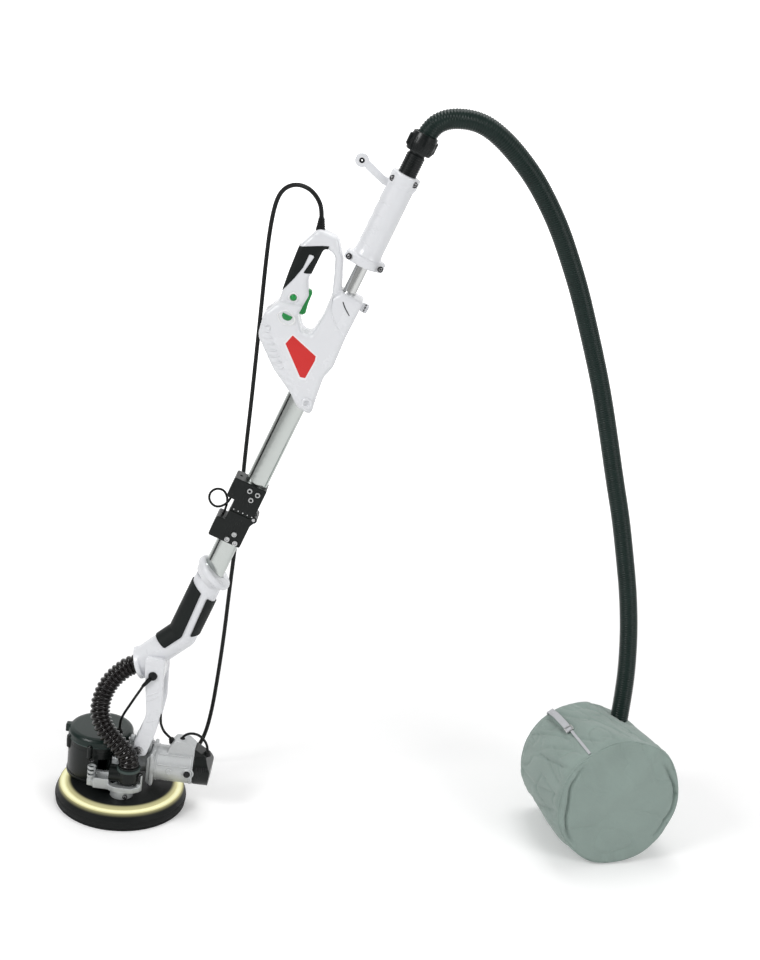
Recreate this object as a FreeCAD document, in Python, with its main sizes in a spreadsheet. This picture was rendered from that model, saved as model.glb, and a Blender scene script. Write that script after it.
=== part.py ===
"""Pole drywall sander, a parametric model in millimetres with +Z up.

The origin is the centre of the sanding disc on the floor.  The head stands flat on the floor, the
pole leans towards +X in the XZ plane, and the dust bag lies on the floor beyond it.  Pieces on the
pole are drawn in the pole's own frame: X across the pole, Y along world Y, Z along the pole.
"""
import FreeCAD, Part
import Sketcher
import math
import os
import sys

V = FreeCAD.Vector
Placement = FreeCAD.Placement
Rotation = FreeCAD.Rotation
X_AXIS, Y_AXIS, Z_AXIS = V(1, 0, 0), V(0, 1, 0), V(0, 0, 1)

doc = FreeCAD.newDocument("pole_drywall_sander")
sheet = doc.addObject("Spreadsheet::Sheet", "size")

SIZES = {
    # the pole as it stands
    "pole_lean": 19.32,           # degrees from upright
    "pole_foot": -32.7,           # where the pole's axis meets the floor
    # clearances
    "running_gap": 0.05,          # radial gap of a shaft in its bore
    "moving_gap": 0.5,            # between parts that pass each other
    "seat_gap": 0.15,             # between fixed parts that slide together when built
    # shroud, light ring and brush
    "shroud_radius": 125.0,
    "shroud_wall": 3.0,
    "shroud_top": 40.0,           # height of the top plate
    "shroud_hem": 12.0,           # height of the lower edge
    "light_inner": 106.0,
    "light_outer": 118.0,
    "light_thick": 4.0,
    "brush_wide": 5.0,
    # sanding pad
    "pad_radius": 112.5,
    "disc_thick": 1.6,
    "foam_thick": 8.0,
    "plate_thick": 4.0,
    "dust_hole": 8.0,
    "dust_pitch": 78.0,
    # spindle and bevel gears
    "spindle_radius": 6.0,
    "neck_radius": 22.0,
    "bearing_radius": 14.0,
    "bearing_thick": 9.0,
    "gear_radius": 24.0,
    "gear_face": 7.0,
    # motor, lying along X
    "motor_height": 88.0,         # height of the motor's axis
    "motor_radius": 34.0,
    "motor_wall": 2.5,
    "flange_start": 56.0,
    "flange_thick": 7.0,
    "flange_wide": 72.0,
    "motor_end": 139.0,
    "cap_end": 172.0,
    "shaft_radius": 5.0,
    "core_radius": 20.0,
    "nose_radius": 21.0,
    # suction chamber
    "pot_x": -51.0,
    "pot_y": 27.0,
    "pot_radius": 61.5,
    "pot_wall": 3.0,
    "pot_top": 118.0,
    "lid_thick": 18.0,
    "fan_radius": 29.0,
    # swivel between head and fork
    "swivel_x": 34.0,
    "swivel_z": 128.0,
    "block_long": 26.0,
    "block_half": 26.0,           # half its width along Y
    "block_tall": 22.0,
    "swivel_pin": 5.0,
    "leg_thick": 10.5,
    # elbow port and its bracket
    "elbow_x": 20.0,
    "elbow_y": -55.0,
    "elbow_radius": 20.0,
    "elbow_top": 104.0,
    "elbow_base": 66.0,
    "foot_radius": 22.0,
    "foot_tall": 16.0,
    # lower arm
    "arm_across": 27.0,           # half width across the pole
    "arm_deep": 24.5,             # half depth along Y
    "arm_wall": 3.0,
    "arm_bend": 385.0,            # where the arm bends, along the pole
    "arm_top": 512.0,
    "glue_gap": 0.05,
    "grip_thick": 2.2,
    "guard_radius": 38.0,
    "guard_thick": 14.0,
    "guard_tilt": 24.6,
    "collar_radius": 29.5,
    "collar_thick": 9.0,
    "tube_end_gap": 4.0,
    # pole tubes
    "tube_across": 20.5,          # half width across the pole
    "tube_deep": 15.5,            # half depth
    "tube_wall": 1.8,
    "lower_tube_start": 470.0,
    # fold joint
    "fold_level": 660.0,          # seam between the two blocks, along the pole
    "fold_block": 61.0,           # length of each block
    "fold_half": 22.5,            # half depth of the blocks
    "fold_skin": 2.7,
    "fold_pin": 3.0,
    "fold_knuckle": 6.5,
    "duct_out": 39.5,             # how far the cable duct reaches to the left
    "duct_drop": 21.0,            # how far the duct stays back from the seam
    # main housing
    "housing_half": 31.0,         # half depth of the body
    "handle_half": 19.0,          # half depth of the D handle
    "housing_wall": 3.0,
    "housing_end": 1112.0,        # where the tube leaves the housing
    "button_radius": 5.7,
    "dial_radius": 12.0,
    "dial_thick": 7.0,
    "knob_radius": 7.0,
    "knob_long": 12.0,
    # extension and rear grip
    "rod_radius": 11.7,
    "rod_wall": 1.6,
    "rod_start": 800.0,
    "grip_start": 1166.0,
    "grip_flange": 19.0,
    "grip_flange_radius": 31.0,
    "grip_end": 1324.0,
    "grip_radius": 22.0,
    "grip_cap": 15.0,
    "grip_cap_radius": 25.5,
    "grip_wall": 3.0,
    "eye_hole": 4.0,
    "eye_radius": 12.0,
    "hook_thick": 9.0,
    # hose coupling, hose and bag
    "spigot_radius": 16.0,
    "spigot_long": 41.0,
    "spigot_bore": 12.5,
    "nut_radius": 22.5,
    "nut_long": 34.0,
    "hose_radius": 18.0,
    "head_hose_radius": 17.0,
    "bag_radius": 132.0,
    "bag_rear_radius": 117.6,
    "bag_long": 220.0,
    "bag_rim": 6.0,
    "bag_round": 20.0,
    "bag_x": 959.0,
    "bag_y": -19.4,
    "bag_turn": 110.1,            # heading of the bag's axis, degrees from +X
    # cables
    "cable_radius": 2.5,
    "mains_radius": 4.0,
    "coil_radius": 60.0,
    "coil_wide": 24.0,
    "coil_tall": 25.0,
}

for row, (alias, number) in enumerate(SIZES.items(), 1):
    sheet.set(f"A{row}", alias)
    sheet.set(f"B{row}", str(number))
    sheet.setAlias(f"B{row}", alias)
doc.recompute()


class Sizes:
    """The sheet's numbers, read by alias."""

    def __getattr__(self, alias):
        return float(sheet.get(alias))


s = Sizes()
nodes = []


# ---------------------------------------------------------------- frames and drawing tools

POLE = Placement(V(s.pole_foot, 0, 0), Rotation(Y_AXIS, s.pole_lean))
WORLD = Placement()


def at(x, y, z, axis=Z_AXIS, frame=WORLD):
    """A placement at a point of a frame, with its Z along the axis."""
    return frame.multiply(Placement(V(x, y, z), Rotation(Z_AXIS, axis)))


def world(x, y, z):
    """A point of the pole's frame, in the world."""
    return POLE.multVec(V(x, y, z))


def node(item, label):
    """Names a finished sub-part and keeps it for export."""
    item.Label = label
    nodes.append(item)
    return item


def primitive(kind, name, place, **sizes):
    """A Part primitive whose sizes are bound to the sheet."""
    item = doc.addObject("Part::" + kind, name)
    for prop, expression in sizes.items():
        item.setExpression(prop, expression)
    item.Placement = place
    return item


def cylinder(name, place, radius, height):
    return primitive("Cylinder", name, place, Radius=radius, Height=height)


def feature(name, shape, place=WORLD):
    """A shape made with Part's own functions."""
    item = doc.addObject("Part::Feature", name)
    item.Shape = shape
    item.Placement = place.multiply(shape.Placement)
    return item


def fuse(name, *items):
    item = doc.addObject("Part::MultiFuse", name)
    item.Shapes = list(items)
    return item


def cut(name, base, *tools):
    item = doc.addObject("Part::Cut", name)
    item.Base = base
    item.Tool = tools[0] if len(tools) == 1 else fuse(name + "_tools", *tools)
    return item


def group(name, *items):
    """Separate solids kept together as one sub-part."""
    item = doc.addObject("Part::Compound", name)
    item.Links = list(items)
    return item


def outline(corners):
    """A closed wire in the XZ plane through (x, z, radius) corners, with tangent arcs."""
    arcs = []
    for i, (x, z, radius) in enumerate(corners):
        here = V(x, 0, z)
        before = V(corners[i - 1][0], 0, corners[i - 1][1])
        after = V(corners[(i + 1) % len(corners)][0], 0, corners[(i + 1) % len(corners)][1])
        back = (before - here).normalize()
        ahead = (after - here).normalize()
        if radius == 0:
            arcs.append((here, None, here))
            continue
        half = back.getAngle(ahead) / 2
        reach = radius / math.tan(half)
        inward = (back + ahead).normalize()
        middle = here + inward * (radius / math.sin(half) - radius)
        arcs.append((here + back * reach, middle, here + ahead * reach))
    edges = []
    for i, (start, middle, end) in enumerate(arcs):
        if middle is not None:
            edges.append(Part.Arc(start, middle, end).toShape())
        following = arcs[(i + 1) % len(arcs)][0]
        if end.distanceToPoint(following) > 1e-6:
            edges.append(Part.LineSegment(end, following).toShape())
    return Part.Wire(edges)


def slab(corners, low, high):
    """The outline as a plate between two values of Y."""
    face = Part.Face(outline(corners))
    face.translate(V(0, low, 0))
    return face.extrude(V(0, high - low, 0))


def turned(points):
    """A solid of revolution about Z from a closed list of (radius, height) corners."""
    loop = [V(radius, 0, height) for radius, height in points]
    face = Part.Face(Part.makePolygon(loop + loop[:1]))
    return face.revolve(V(0, 0, 0), Z_AXIS, 360)


def oval(across, deep, low, high):
    """An elliptic column along Z."""
    ellipse = Part.Ellipse(V(0, 0, low), max(across, deep), min(across, deep))
    if deep > across:
        ellipse.rotate(Placement(V(0, 0, 0), Rotation(Z_AXIS, 90)))
    return Part.Face(Part.Wire(ellipse.toShape())).extrude(V(0, 0, high - low))


def route(points):
    """Straight runs joined by tangent arcs, as large as the runs allow; also the least radius."""
    points = [V(*point) for point in points]
    edges = []
    start = points[0]
    least = 1e9
    for before, here, after in zip(points, points[1:], points[2:]):
        back = before - here
        ahead = after - here
        shorter = min(back.Length, ahead.Length)
        back.normalize()
        ahead.normalize()
        turn = math.pi - back.getAngle(ahead)
        reach = 0.45 * shorter
        radius = reach / math.tan(turn / 2)
        least = min(least, radius)
        inward = (back + ahead).normalize()
        first = here + back * reach
        last = here + ahead * reach
        middle = here + inward * (radius / math.cos(turn / 2) - radius)
        edges.append(Part.LineSegment(start, first).toShape())
        edges.append(Part.Arc(first, middle, last).toShape())
        start = last
    edges.append(Part.LineSegment(start, points[-1]).toShape())
    return Part.Wire(edges), least


def rope(label, points, radius):
    """A plain round tube along a route; prints its length, least radius and volume error."""
    path, least = route(points)
    heading = V(*points[1]) - V(*points[0])
    ring = Part.Wire(Part.makeCircle(radius, V(*points[0]), heading))
    solid = path.makePipeShell([ring], True, False)
    wanted = math.pi * radius ** 2 * path.Length
    off = solid.Volume / wanted - 1
    print(f"{label}: {path.Length:.0f} long, least radius {least:.0f}, volume off {off:.5f}")
    return solid


# ---------------------------------------------------------------- sanding pad, on the spindle

def pad_layer(label, low, thick):
    """One round layer of the pad with its six dust holes, as a PartDesign body."""
    body = doc.addObject("PartDesign::Body", label)
    plane = [f for f in body.Origin.OriginFeatures if f.Role == "XY_Plane"][0]
    sketch = body.newObject("Sketcher::SketchObject", label + "_rim")
    sketch.AttachmentSupport = [(plane, "")]
    sketch.MapMode = "FlatFace"
    rim = sketch.addGeometry(Part.Circle(V(0, 0, 0), Z_AXIS, s.pad_radius), False)
    sketch.addConstraint([Sketcher.Constraint("Coincident", rim, 3, -1, 1),
                          Sketcher.Constraint("Radius", rim, s.pad_radius)])
    sketch.setExpression("Constraints[1]", "size.pad_radius")
    pad = body.newObject("PartDesign::Pad", label + "_pad")
    pad.Profile = sketch
    pad.setExpression("Length", thick)
    holes = body.newObject("Sketcher::SketchObject", label + "_hole")
    holes.AttachmentSupport = [(plane, "")]
    holes.MapMode = "FlatFace"
    hole = holes.addGeometry(Part.Circle(V(s.dust_pitch, 0, 0), Z_AXIS, s.dust_hole), False)
    holes.addConstraint([Sketcher.Constraint("Radius", hole, s.dust_hole),
                         Sketcher.Constraint("DistanceX", -1, 1, hole, 3, s.dust_pitch),
                         Sketcher.Constraint("PointOnObject", hole, 3, -1)])
    holes.setExpression("Constraints[0]", "size.dust_hole")
    holes.setExpression("Constraints[1]", "size.dust_pitch")
    pocket = body.newObject("PartDesign::Pocket", label + "_pocket")
    pocket.Profile = holes
    pocket.Type = 1
    pocket.Midplane = True
    pattern = body.newObject("PartDesign::PolarPattern", label + "_holes")
    pattern.Originals = [pocket]
    pattern.Axis = (holes, ["N_Axis"])
    pattern.Angle = 360
    pattern.Occurrences = 6
    body.Tip = pattern
    body.setExpression("Placement.Base.z", low)
    return body


node(pad_layer("sanding_disc", "0", "size.disc_thick"), "sanding_disc")
foam = pad_layer("foam", "size.disc_thick", "size.foam_thick")
plate = pad_layer("plate", "size.disc_thick + size.foam_thick", "size.plate_thick")
node(group("backing_pad", foam, plate), "backing_pad")
pad_top = s.disc_thick + s.foam_thick + s.plate_thick

lower_bearing = s.shroud_top + 2.0
upper_bearing = lower_bearing + 2 * s.bearing_thick - 5.0
gear_top = s.motor_height - 10.5
spindle_top = gear_top + 2.0
node(feature("spindle", turned([
    (0, pad_top), (s.spindle_radius + 8, pad_top), (s.spindle_radius + 8, pad_top + 5),
    (s.spindle_radius, pad_top + 5), (s.spindle_radius, spindle_top), (0, spindle_top)])), "spindle")

gear_low = gear_top - s.gear_face - 5.0
node(feature("bevel_gear", turned([
    (s.spindle_radius, gear_low), (s.gear_radius - 8, gear_low), (s.gear_radius, gear_top - s.gear_face),
    (s.gear_radius - s.gear_face, gear_top - 1.5), (s.spindle_radius, gear_top - 1.5)])), "bevel_gear")

# ---------------------------------------------------------------- shroud, light ring, brush

light_low = s.shroud_top - s.light_thick - 5.0
wall = s.shroud_wall
rim = s.shroud_radius
hole_radius = s.neck_radius - 4.0
node(feature("shroud", turned([
    (rim, s.shroud_hem), (rim, s.shroud_hem + 8), (s.light_outer + 1.5, light_low + 3),
    (s.light_outer, light_low + 3), (s.light_outer, light_low), (s.light_inner, light_low),
    (s.light_inner, light_low + 5), (s.light_inner - 3, s.shroud_top), (hole_radius, s.shroud_top),
    (hole_radius, s.shroud_top - wall), (s.light_inner - 5, s.shroud_top - wall),
    (s.light_inner - wall, light_low - wall), (s.light_outer, light_low - wall),
    (rim - wall, s.shroud_hem + 7), (rim - wall, s.shroud_hem)])), "shroud")

light_base = at(0, 0, light_low)
light_outside = cylinder("light_outside", light_base, "size.light_outer - size.seat_gap", "size.light_thick")
light_inside = cylinder("light_inside", light_base, "size.light_inner + size.seat_gap", "size.light_thick")
node(cut("light_ring", light_outside, light_inside), "light_ring")

brush_outside = cylinder("brush_outside", WORLD, "size.shroud_radius - 0.5", "size.shroud_hem")
brush_inside = cylinder("brush_inside", WORLD, "size.shroud_radius - 0.5 - size.brush_wide",
                        "size.shroud_hem")
node(cut("brush_skirt", brush_outside, brush_inside), "brush_skirt")

# ---------------------------------------------------------------- gear housing

motor_z = s.motor_height
dome_top = motor_z + 12.0
dome_radius = s.gear_radius + 6.0
ear_half = 11.0
ear_left = s.swivel_x - s.block_long / 2 - s.moving_gap
ear_right = s.swivel_x + s.block_long / 2 + s.moving_gap
dome = Part.makeCylinder(dome_radius, dome_top - s.shroud_top - 20, V(0, 0, s.shroud_top + 20))
neck = Part.makeCylinder(s.neck_radius, 21, V(0, 0, s.shroud_top))
nose = Part.makeCylinder(s.nose_radius, s.flange_start, V(0, 0, motor_z), X_AXIS)
flange_plate = slab([
    (s.flange_start - 7, motor_z - 30, 0), (s.flange_start, motor_z - s.flange_wide / 2, 0),
    (s.flange_start, motor_z + s.flange_wide / 2 - 8, 0), (s.flange_start - 7, motor_z + 20, 0)], -30, 30)
ears = []
for low, high in ((ear_left - 9, ear_left), (ear_right, ear_right + 7)):
    ears.append(Part.makeBox(high - low, 2 * ear_half, s.swivel_z - motor_z, V(low, -ear_half, motor_z)))
    ears.append(Part.makeCylinder(ear_half, high - low, V(low, 0, s.swivel_z), X_AXIS))
casting = dome.fuse([neck, nose, flange_plate] + ears)
pin_hole = Part.makeCylinder(s.swivel_pin, 90, V(0, 0, s.swivel_z), X_AXIS)
gear_room = Part.makeCylinder(dome_radius - 3.5, dome_top - 62 - 3.5, V(0, 0, 62))
nose_room = Part.makeCylinder(s.nose_radius - 5, s.flange_start + 1, V(0, 0, motor_z), X_AXIS)
neck_room = Part.makeCylinder(s.bearing_radius, 30, V(0, 0, s.shroud_top))
casting = casting.cut([pin_hole, gear_room, nose_room, neck_room])
node(feature("gear_housing", casting.removeSplitter()), "gear_housing")


def bearing(name, place, bore):
    """A plain ring bearing, of the sheet's bearing size."""
    outer = cylinder(name + "_outer", place, "size.bearing_radius", "size.bearing_thick")
    inner = cylinder(name + "_inner", place, bore, "size.bearing_thick")
    return cut(name, outer, inner)


front_bearing_x = s.flange_start + 4
rear_bearing_x = s.cap_end - 20
spindle_bore = "size.spindle_radius + size.running_gap"
shaft_bore = "size.shaft_radius + size.running_gap"
node(group("bearings",
           bearing("spindle_bearing_low", at(0, 0, lower_bearing), spindle_bore),
           bearing("spindle_bearing_top", at(0, 0, upper_bearing), spindle_bore),
           bearing("motor_bearing_front", at(front_bearing_x, 0, motor_z, X_AXIS), shaft_bore),
           bearing("motor_bearing_rear", at(rear_bearing_x, 0, motor_z, X_AXIS), shaft_bore)), "bearings")

# ---------------------------------------------------------------- motor

core_start = 80.0
core_end = 122.0
brush_x = 129.0


def motor_tube(low, high, radius):
    return Part.makeCylinder(radius, high - low, V(low, 0, motor_z), X_AXIS)


hump = slab([(84, motor_z + 20, 0), (90, motor_z + 44, 4), (99, motor_z + 56, 4), (124, motor_z + 56, 4),
             (s.motor_end, motor_z + 44, 0), (s.motor_end, motor_z + 20, 0)], -17, 17)
mouth = slab([(s.flange_start, motor_z - s.flange_wide / 2, 3),
              (s.flange_start + s.flange_thick, motor_z - s.flange_wide / 2, 3),
              (s.flange_start + s.flange_thick, motor_z + s.flange_wide / 2 - 4, 3),
              (s.flange_start, motor_z + s.flange_wide / 2 - 4, 3)], -33, 33)
boss = Part.makeCylinder(9, 2 * s.motor_radius + 6, V(brush_x, -s.motor_radius - 3, motor_z), Y_AXIS)
shell = motor_tube(s.flange_start, s.motor_end, s.motor_radius).fuse([hump, mouth, boss])
bore = motor_tube(s.flange_start + 15, s.motor_end, s.motor_radius - s.motor_wall)
seat = motor_tube(s.flange_start, s.flange_start + 15, s.bearing_radius)
brush_hole = Part.makeCylinder(6, 2 * s.motor_radius + 6, V(brush_x, -s.motor_radius - 3, motor_z), Y_AXIS)
hump_room = slab([(92, motor_z + 22, 0), (100, motor_z + 52, 0), (123, motor_z + 52, 0),
                  (s.motor_end, motor_z + 42, 0), (s.motor_end, motor_z + 22, 0)], -14, 14)
shell = shell.cut([bore, seat, brush_hole, hump_room])
node(feature("motor_housing", shell.removeSplitter()), "motor_housing")

cap = slab([(s.motor_end, motor_z + 44, 0), (s.motor_end + 22, motor_z + 30, 8), (s.cap_end, motor_z + 6, 10),
            (s.cap_end - 4, motor_z - 32, 6), (s.motor_end, motor_z - s.motor_radius, 0)],
           -s.motor_radius, s.motor_radius)
cap_round = motor_tube(s.motor_end, s.cap_end, s.motor_radius).fuse(
    Part.makeBox(s.cap_end - s.motor_end, 34, 50, V(s.motor_end, -17, motor_z)))
cap_room = motor_tube(s.motor_end, s.cap_end - 20, s.motor_radius - 3)
cap_seat = motor_tube(s.cap_end - 20, s.cap_end - 10, s.bearing_radius)
end_cap = cap.common(cap_round).cut([cap_room, cap_seat])
node(feature("motor_end_cap", end_cap.removeSplitter()), "motor_end_cap")

pinion = Part.makeCone(6.2, 9.2, 9, V(13.5, 0, motor_z), X_AXIS)
armature = motor_tube(13.5, s.cap_end - 11, s.shaft_radius).fuse([
    pinion, motor_tube(core_start, core_end, s.core_radius), motor_tube(core_end + 1.5, brush_x + 8, 11.5),
    motor_tube(73, 77, s.core_radius + 6)])
node(feature("armature", armature.removeSplitter()), "armature")

field = motor_tube(core_start, core_end, s.motor_radius - s.motor_wall - s.seat_gap)
node(feature("field_core", field.cut(motor_tube(core_start, core_end, s.core_radius + 1.0))), "field_core")

brush_solids = []
for side in (-1, 1):
    tip = Part.makeCylinder(4, 20, V(brush_x, side * 12, motor_z), Y_AXIS * side)
    head = Part.makeCylinder(5.8, 4, V(brush_x, side * (s.motor_radius + 1), motor_z), Y_AXIS * side)
    brush_solids += [tip, head]
node(feature("motor_brushes", Part.makeCompound(brush_solids)), "motor_brushes")

# ---------------------------------------------------------------- suction chamber, lid and fan

pot_centre = V(s.pot_x, s.pot_y, s.shroud_top)
pot_tall = s.pot_top - s.shroud_top
notch_gap = dome_radius + 1.0
nose_gap = s.nose_radius + 1.0
pot_notch = Part.makeCylinder(notch_gap, pot_tall, V(0, 0, s.shroud_top)).fuse(
    Part.makeBox(60, 2 * nose_gap, pot_tall, V(0, -nose_gap, s.shroud_top)))
thick_notch = Part.makeCylinder(notch_gap + s.pot_wall, pot_tall, V(0, 0, s.shroud_top)).fuse(
    Part.makeBox(60, 2 * (nose_gap + s.pot_wall), pot_tall, V(0, -nose_gap - s.pot_wall, s.shroud_top)))
port_z = (s.elbow_top + s.elbow_base) / 2 - 1
port = Part.makeCylinder(15, 30, V(s.pot_x + 6, s.elbow_y, port_z), X_AXIS)
port_room = Part.makeCylinder(12, 31, V(s.pot_x + 6, s.elbow_y, port_z), X_AXIS)
throat = Part.makeBox(22, 30, 22, V(s.pot_x + 8, s.elbow_y + 1, port_z - 11))
pot = Part.makeCylinder(s.pot_radius, pot_tall, pot_centre).cut(pot_notch).fuse(port)
pot_room = Part.makeCylinder(s.pot_radius - s.pot_wall, pot_tall, pot_centre + V(0, 0, s.pot_wall))
pot_room = pot_room.cut(thick_notch)
pot = pot.cut([pot_room, port_room, throat])
pot = max(pot.Solids, key=lambda solid: solid.Volume)
node(feature("blower_housing", pot.removeSplitter()), "blower_housing")

lid_profile = [(0, 0), (s.pot_radius + 0.5, 0), (s.pot_radius + 0.5, s.lid_thick - 6),
               (s.pot_radius - 3, s.lid_thick - 1.5), (s.pot_radius - 9, s.lid_thick), (0, s.lid_thick)]
lid = turned(lid_profile)
lid = lid.fuse(Part.makeBox(12, 14, 16, V(-s.pot_radius - 7, -7, 0)))
lid = lid.fuse(Part.makeCylinder(5, 9, V(39, -23, s.lid_thick - 1)))
lid.translate(V(s.pot_x, s.pot_y, s.pot_top))
node(feature("blower_lid", lid), "blower_lid")

fan_x, fan_y, fan_z = s.pot_x - 15.0, s.pot_y + 6.0, s.shroud_top + 14.0
can_low = fan_z + 30.0
fan = Part.makeCylinder(s.fan_radius, 2, V(fan_x, fan_y, fan_z))
hub = Part.makeCylinder(7, 20, V(fan_x, fan_y, fan_z))
blades = []
for i in range(9):
    blade = Part.makeBox(s.fan_radius - 6, 1.6, 20, V(5, -0.8, 0))
    blade.rotate(V(0, 0, 0), Z_AXIS, i * 40)
    blade.translate(V(fan_x, fan_y, fan_z))
    blades.append(blade)
stub = Part.makeCylinder(2, 12, V(fan_x, fan_y, can_low - 11))
node(feature("blower_fan", fan.fuse([hub, stub] + blades).removeSplitter()), "blower_fan")
can = cylinder("can", at(fan_x, fan_y, can_low), "17", f"size.pot_top - {can_low}")
can_bore = cylinder("can_bore", at(fan_x, fan_y, can_low), "2 + size.running_gap", "4")
node(cut("blower_motor", can, can_bore), "blower_motor")

# ---------------------------------------------------------------- dust elbow and its bracket

ex, ey, er = s.elbow_x, s.elbow_y, s.elbow_radius
stem_low = s.elbow_base + 8
stem = Part.makeCylinder(er, s.elbow_top - stem_low, V(ex, ey, stem_low))
bowl = Part.makeCone(er - 6, er, 8, V(ex, ey, s.elbow_base))
port_end = s.pot_x + 36 + s.seat_gap
branch = Part.makeCylinder(16.5, ex - port_end, V(port_end, ey, port_z), X_AXIS)
elbow = stem.fuse([bowl, branch])
stem_room = Part.makeCylinder(er - 6, s.elbow_top - s.elbow_base - 3, V(ex, ey, s.elbow_base + 3))
branch_room = Part.makeCylinder(12, ex - port_end, V(port_end, ey, port_z), X_AXIS)
node(feature("dust_elbow", elbow.cut([stem_room, branch_room]).removeSplitter()), "dust_elbow")

foot = Part.makeCylinder(s.foot_radius, s.foot_tall, V(ex - 10, ey - 1, s.shroud_top))
strap_low = s.shroud_top + s.foot_tall - 2
strap_z = s.elbow_base - 1.0
strap_loop = [(-58, -49, 5), (-58, -62, 6), (-22, -66, 14), (-2, -77, 20), (30, -77, 16), (46, -64, 6),
              (46, -52, 4), (38, -52, 3), (34, -64, 6), (24, -67, 8), (4, -67, 8), (-18, -55, 8),
              (-40, -52, 0)]
strap = Part.Face(outline([(x, -y, r) for x, y, r in strap_loop])).extrude(V(0, strap_z - strap_low, 0))
strap.rotate(V(0, 0, 0), X_AXIS, 90)
strap.translate(V(0, 0, strap_low))
knuckle = Part.makeCylinder(7.5, 40, V(-50, -55, strap_low))
knuckle_top = Part.makeCylinder(5.5, 8, V(-50, -55, strap_low + 40))
post = Part.makeCylinder(6, 34, V(42, -58, strap_low))
saddle = Part.makeBox(30, 34, 22, V(-44, -69, strap_low)).cut(
    Part.makeCylinder(15 + s.seat_gap, 40, V(-50, ey, port_z), X_AXIS))
saddle = saddle.cut(Part.makeCylinder(s.pot_radius + s.seat_gap, 60, pot_centre))
casting = strap.fuse([foot, knuckle, knuckle_top, post, saddle])
casting = casting.cut([Part.makeCylinder(s.pot_radius + s.seat_gap, 90, pot_centre),
                       Part.makeCylinder(er + s.seat_gap, 90, V(ex, ey, strap_z + 0.5)),
                       Part.makeCylinder(16.5 + s.seat_gap, 60, V(port_end, ey, port_z), X_AXIS),
                       Part.makeCylinder(15 + s.seat_gap, 60, V(-60, ey, port_z), X_AXIS)])
casting = max(casting.Solids, key=lambda solid: solid.Volume)
node(feature("elbow_bracket", casting.removeSplitter()), "elbow_bracket")

# ---------------------------------------------------------------- swivel

node(cylinder("roll_pin", at(ear_left - 12, 0, s.swivel_z, X_AXIS), "size.swivel_pin",
              "size.block_long + 2 * size.moving_gap + 22"), "roll_pin")
block_low = V(s.swivel_x - s.block_long / 2, -s.block_half, s.swivel_z - s.block_tall / 2)
block = Part.makeBox(s.block_long, 2 * s.block_half, s.block_tall, block_low)
block = block.makeFillet(4, [e for e in block.Edges if abs(e.tangentAt(0).y) > 0.9])
roll_bore = Part.makeCylinder(s.swivel_pin + s.running_gap, 60, V(s.swivel_x - 30, 0, s.swivel_z), X_AXIS)
pitch_stub = s.swivel_pin + 4.0
pitch_bores = [Part.makeCylinder(s.swivel_pin + s.running_gap, 40,
                                 V(s.swivel_x, side * pitch_stub, s.swivel_z), Y_AXIS * side)
               for side in (-1, 1)]
node(feature("swivel_block", block.cut([roll_bore] + pitch_bores)), "swivel_block")

# ---------------------------------------------------------------- fork

leg_in = s.block_half + s.moving_gap
leg_out = leg_in + s.leg_thick
leg_loop = [(22, 116, 8), (47, 116, 8), (63, 168, 30), (71, 216, 60), (70, 322, 6), (33, 322, 6),
            (35, 285, 60), (43, 207, 40), (33, 168, 30), (21, 132, 6)]
legs = [slab(leg_loop, leg_in, leg_out), slab(leg_loop, -leg_out, -leg_in)]

# ---------------------------------------------------------------- lower arm

bend = world(0, 0, s.arm_bend)
inlet = V(15, 0, 291)
inlet_axis = V(-0.936, 0, -0.353)
fall = (inlet - bend).normalize()
fall_tilt = math.degrees(math.atan2(fall.x, fall.z))
FALL = Placement(bend, Rotation(Y_AXIS, fall_tilt))
fall_long = (inlet - bend).Length


def arm(extra, reach=0):
    """The arm's outer shape, grown by a skin, its lower end drawn in by a reach."""
    across, deep = s.arm_across + extra, s.arm_deep + extra
    upper = oval(across, deep, s.arm_bend, s.arm_top)
    upper.Placement = POLE
    lower = oval(across, deep, 0, fall_long - reach)
    lower.Placement = FALL
    knee = Part.makeSphere(across, V(0, 0, 0))
    squash = FreeCAD.Matrix()
    squash.scale(1, deep / across, 1)
    knee = knee.transformGeometry(squash)
    knee.translate(bend)
    return upper.fuse([lower, knee])


arm_outside = arm(0)
arm_inside = arm(-s.arm_wall, 2.5 * s.collar_thick)
tube_seat = oval(s.tube_across + s.seat_gap, s.tube_deep + s.seat_gap, s.lower_tube_start, s.arm_top + 40)
tube_seat.Placement = POLE
sleeve = oval(s.arm_across - 1, s.arm_deep - 1, s.lower_tube_start, s.arm_top)
sleeve.Placement = POLE

# the oblique guard above the grip, and the collar where the head hose plugs in
guard = turned([(0, -10), (s.arm_across + 1, -10), (s.guard_radius - 4, 0), (s.guard_radius, 3),
                (s.guard_radius, s.guard_thick - 3), (s.guard_radius - 3, s.guard_thick), (0, s.guard_thick)])
guard.Placement = POLE.multiply(Placement(V(0, 0, 519), Rotation(Y_AXIS, s.guard_tilt)))
collar = Part.makeCylinder(s.collar_radius, s.collar_thick, inlet - inlet_axis * s.collar_thick, inlet_axis)
lug = Part.makeCylinder(6, s.collar_thick, inlet - inlet_axis * s.collar_thick + V(-9, 0, 27), inlet_axis)
collar_bore = Part.makeCylinder(s.head_hose_radius - 3, 60, inlet - inlet_axis * 40, inlet_axis)
beyond = Part.makeCylinder(100, 60, inlet, inlet_axis)
arm_whole = arm_outside.cut(arm_inside).fuse([sleeve, guard, collar, lug])
arm_whole = arm_whole.cut([tube_seat, collar_bore, beyond])
far_half = Part.makeBox(600, 100, 800, V(-200, 0, 100))
near_half = Part.makeBox(600, 100, 800, V(-200, -100, 100))
node(feature("lower_arm_near", arm_whole.common(near_half)), "lower_arm_near")
node(feature("lower_arm_far", arm_whole.common(far_half)), "lower_arm_far")

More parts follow.
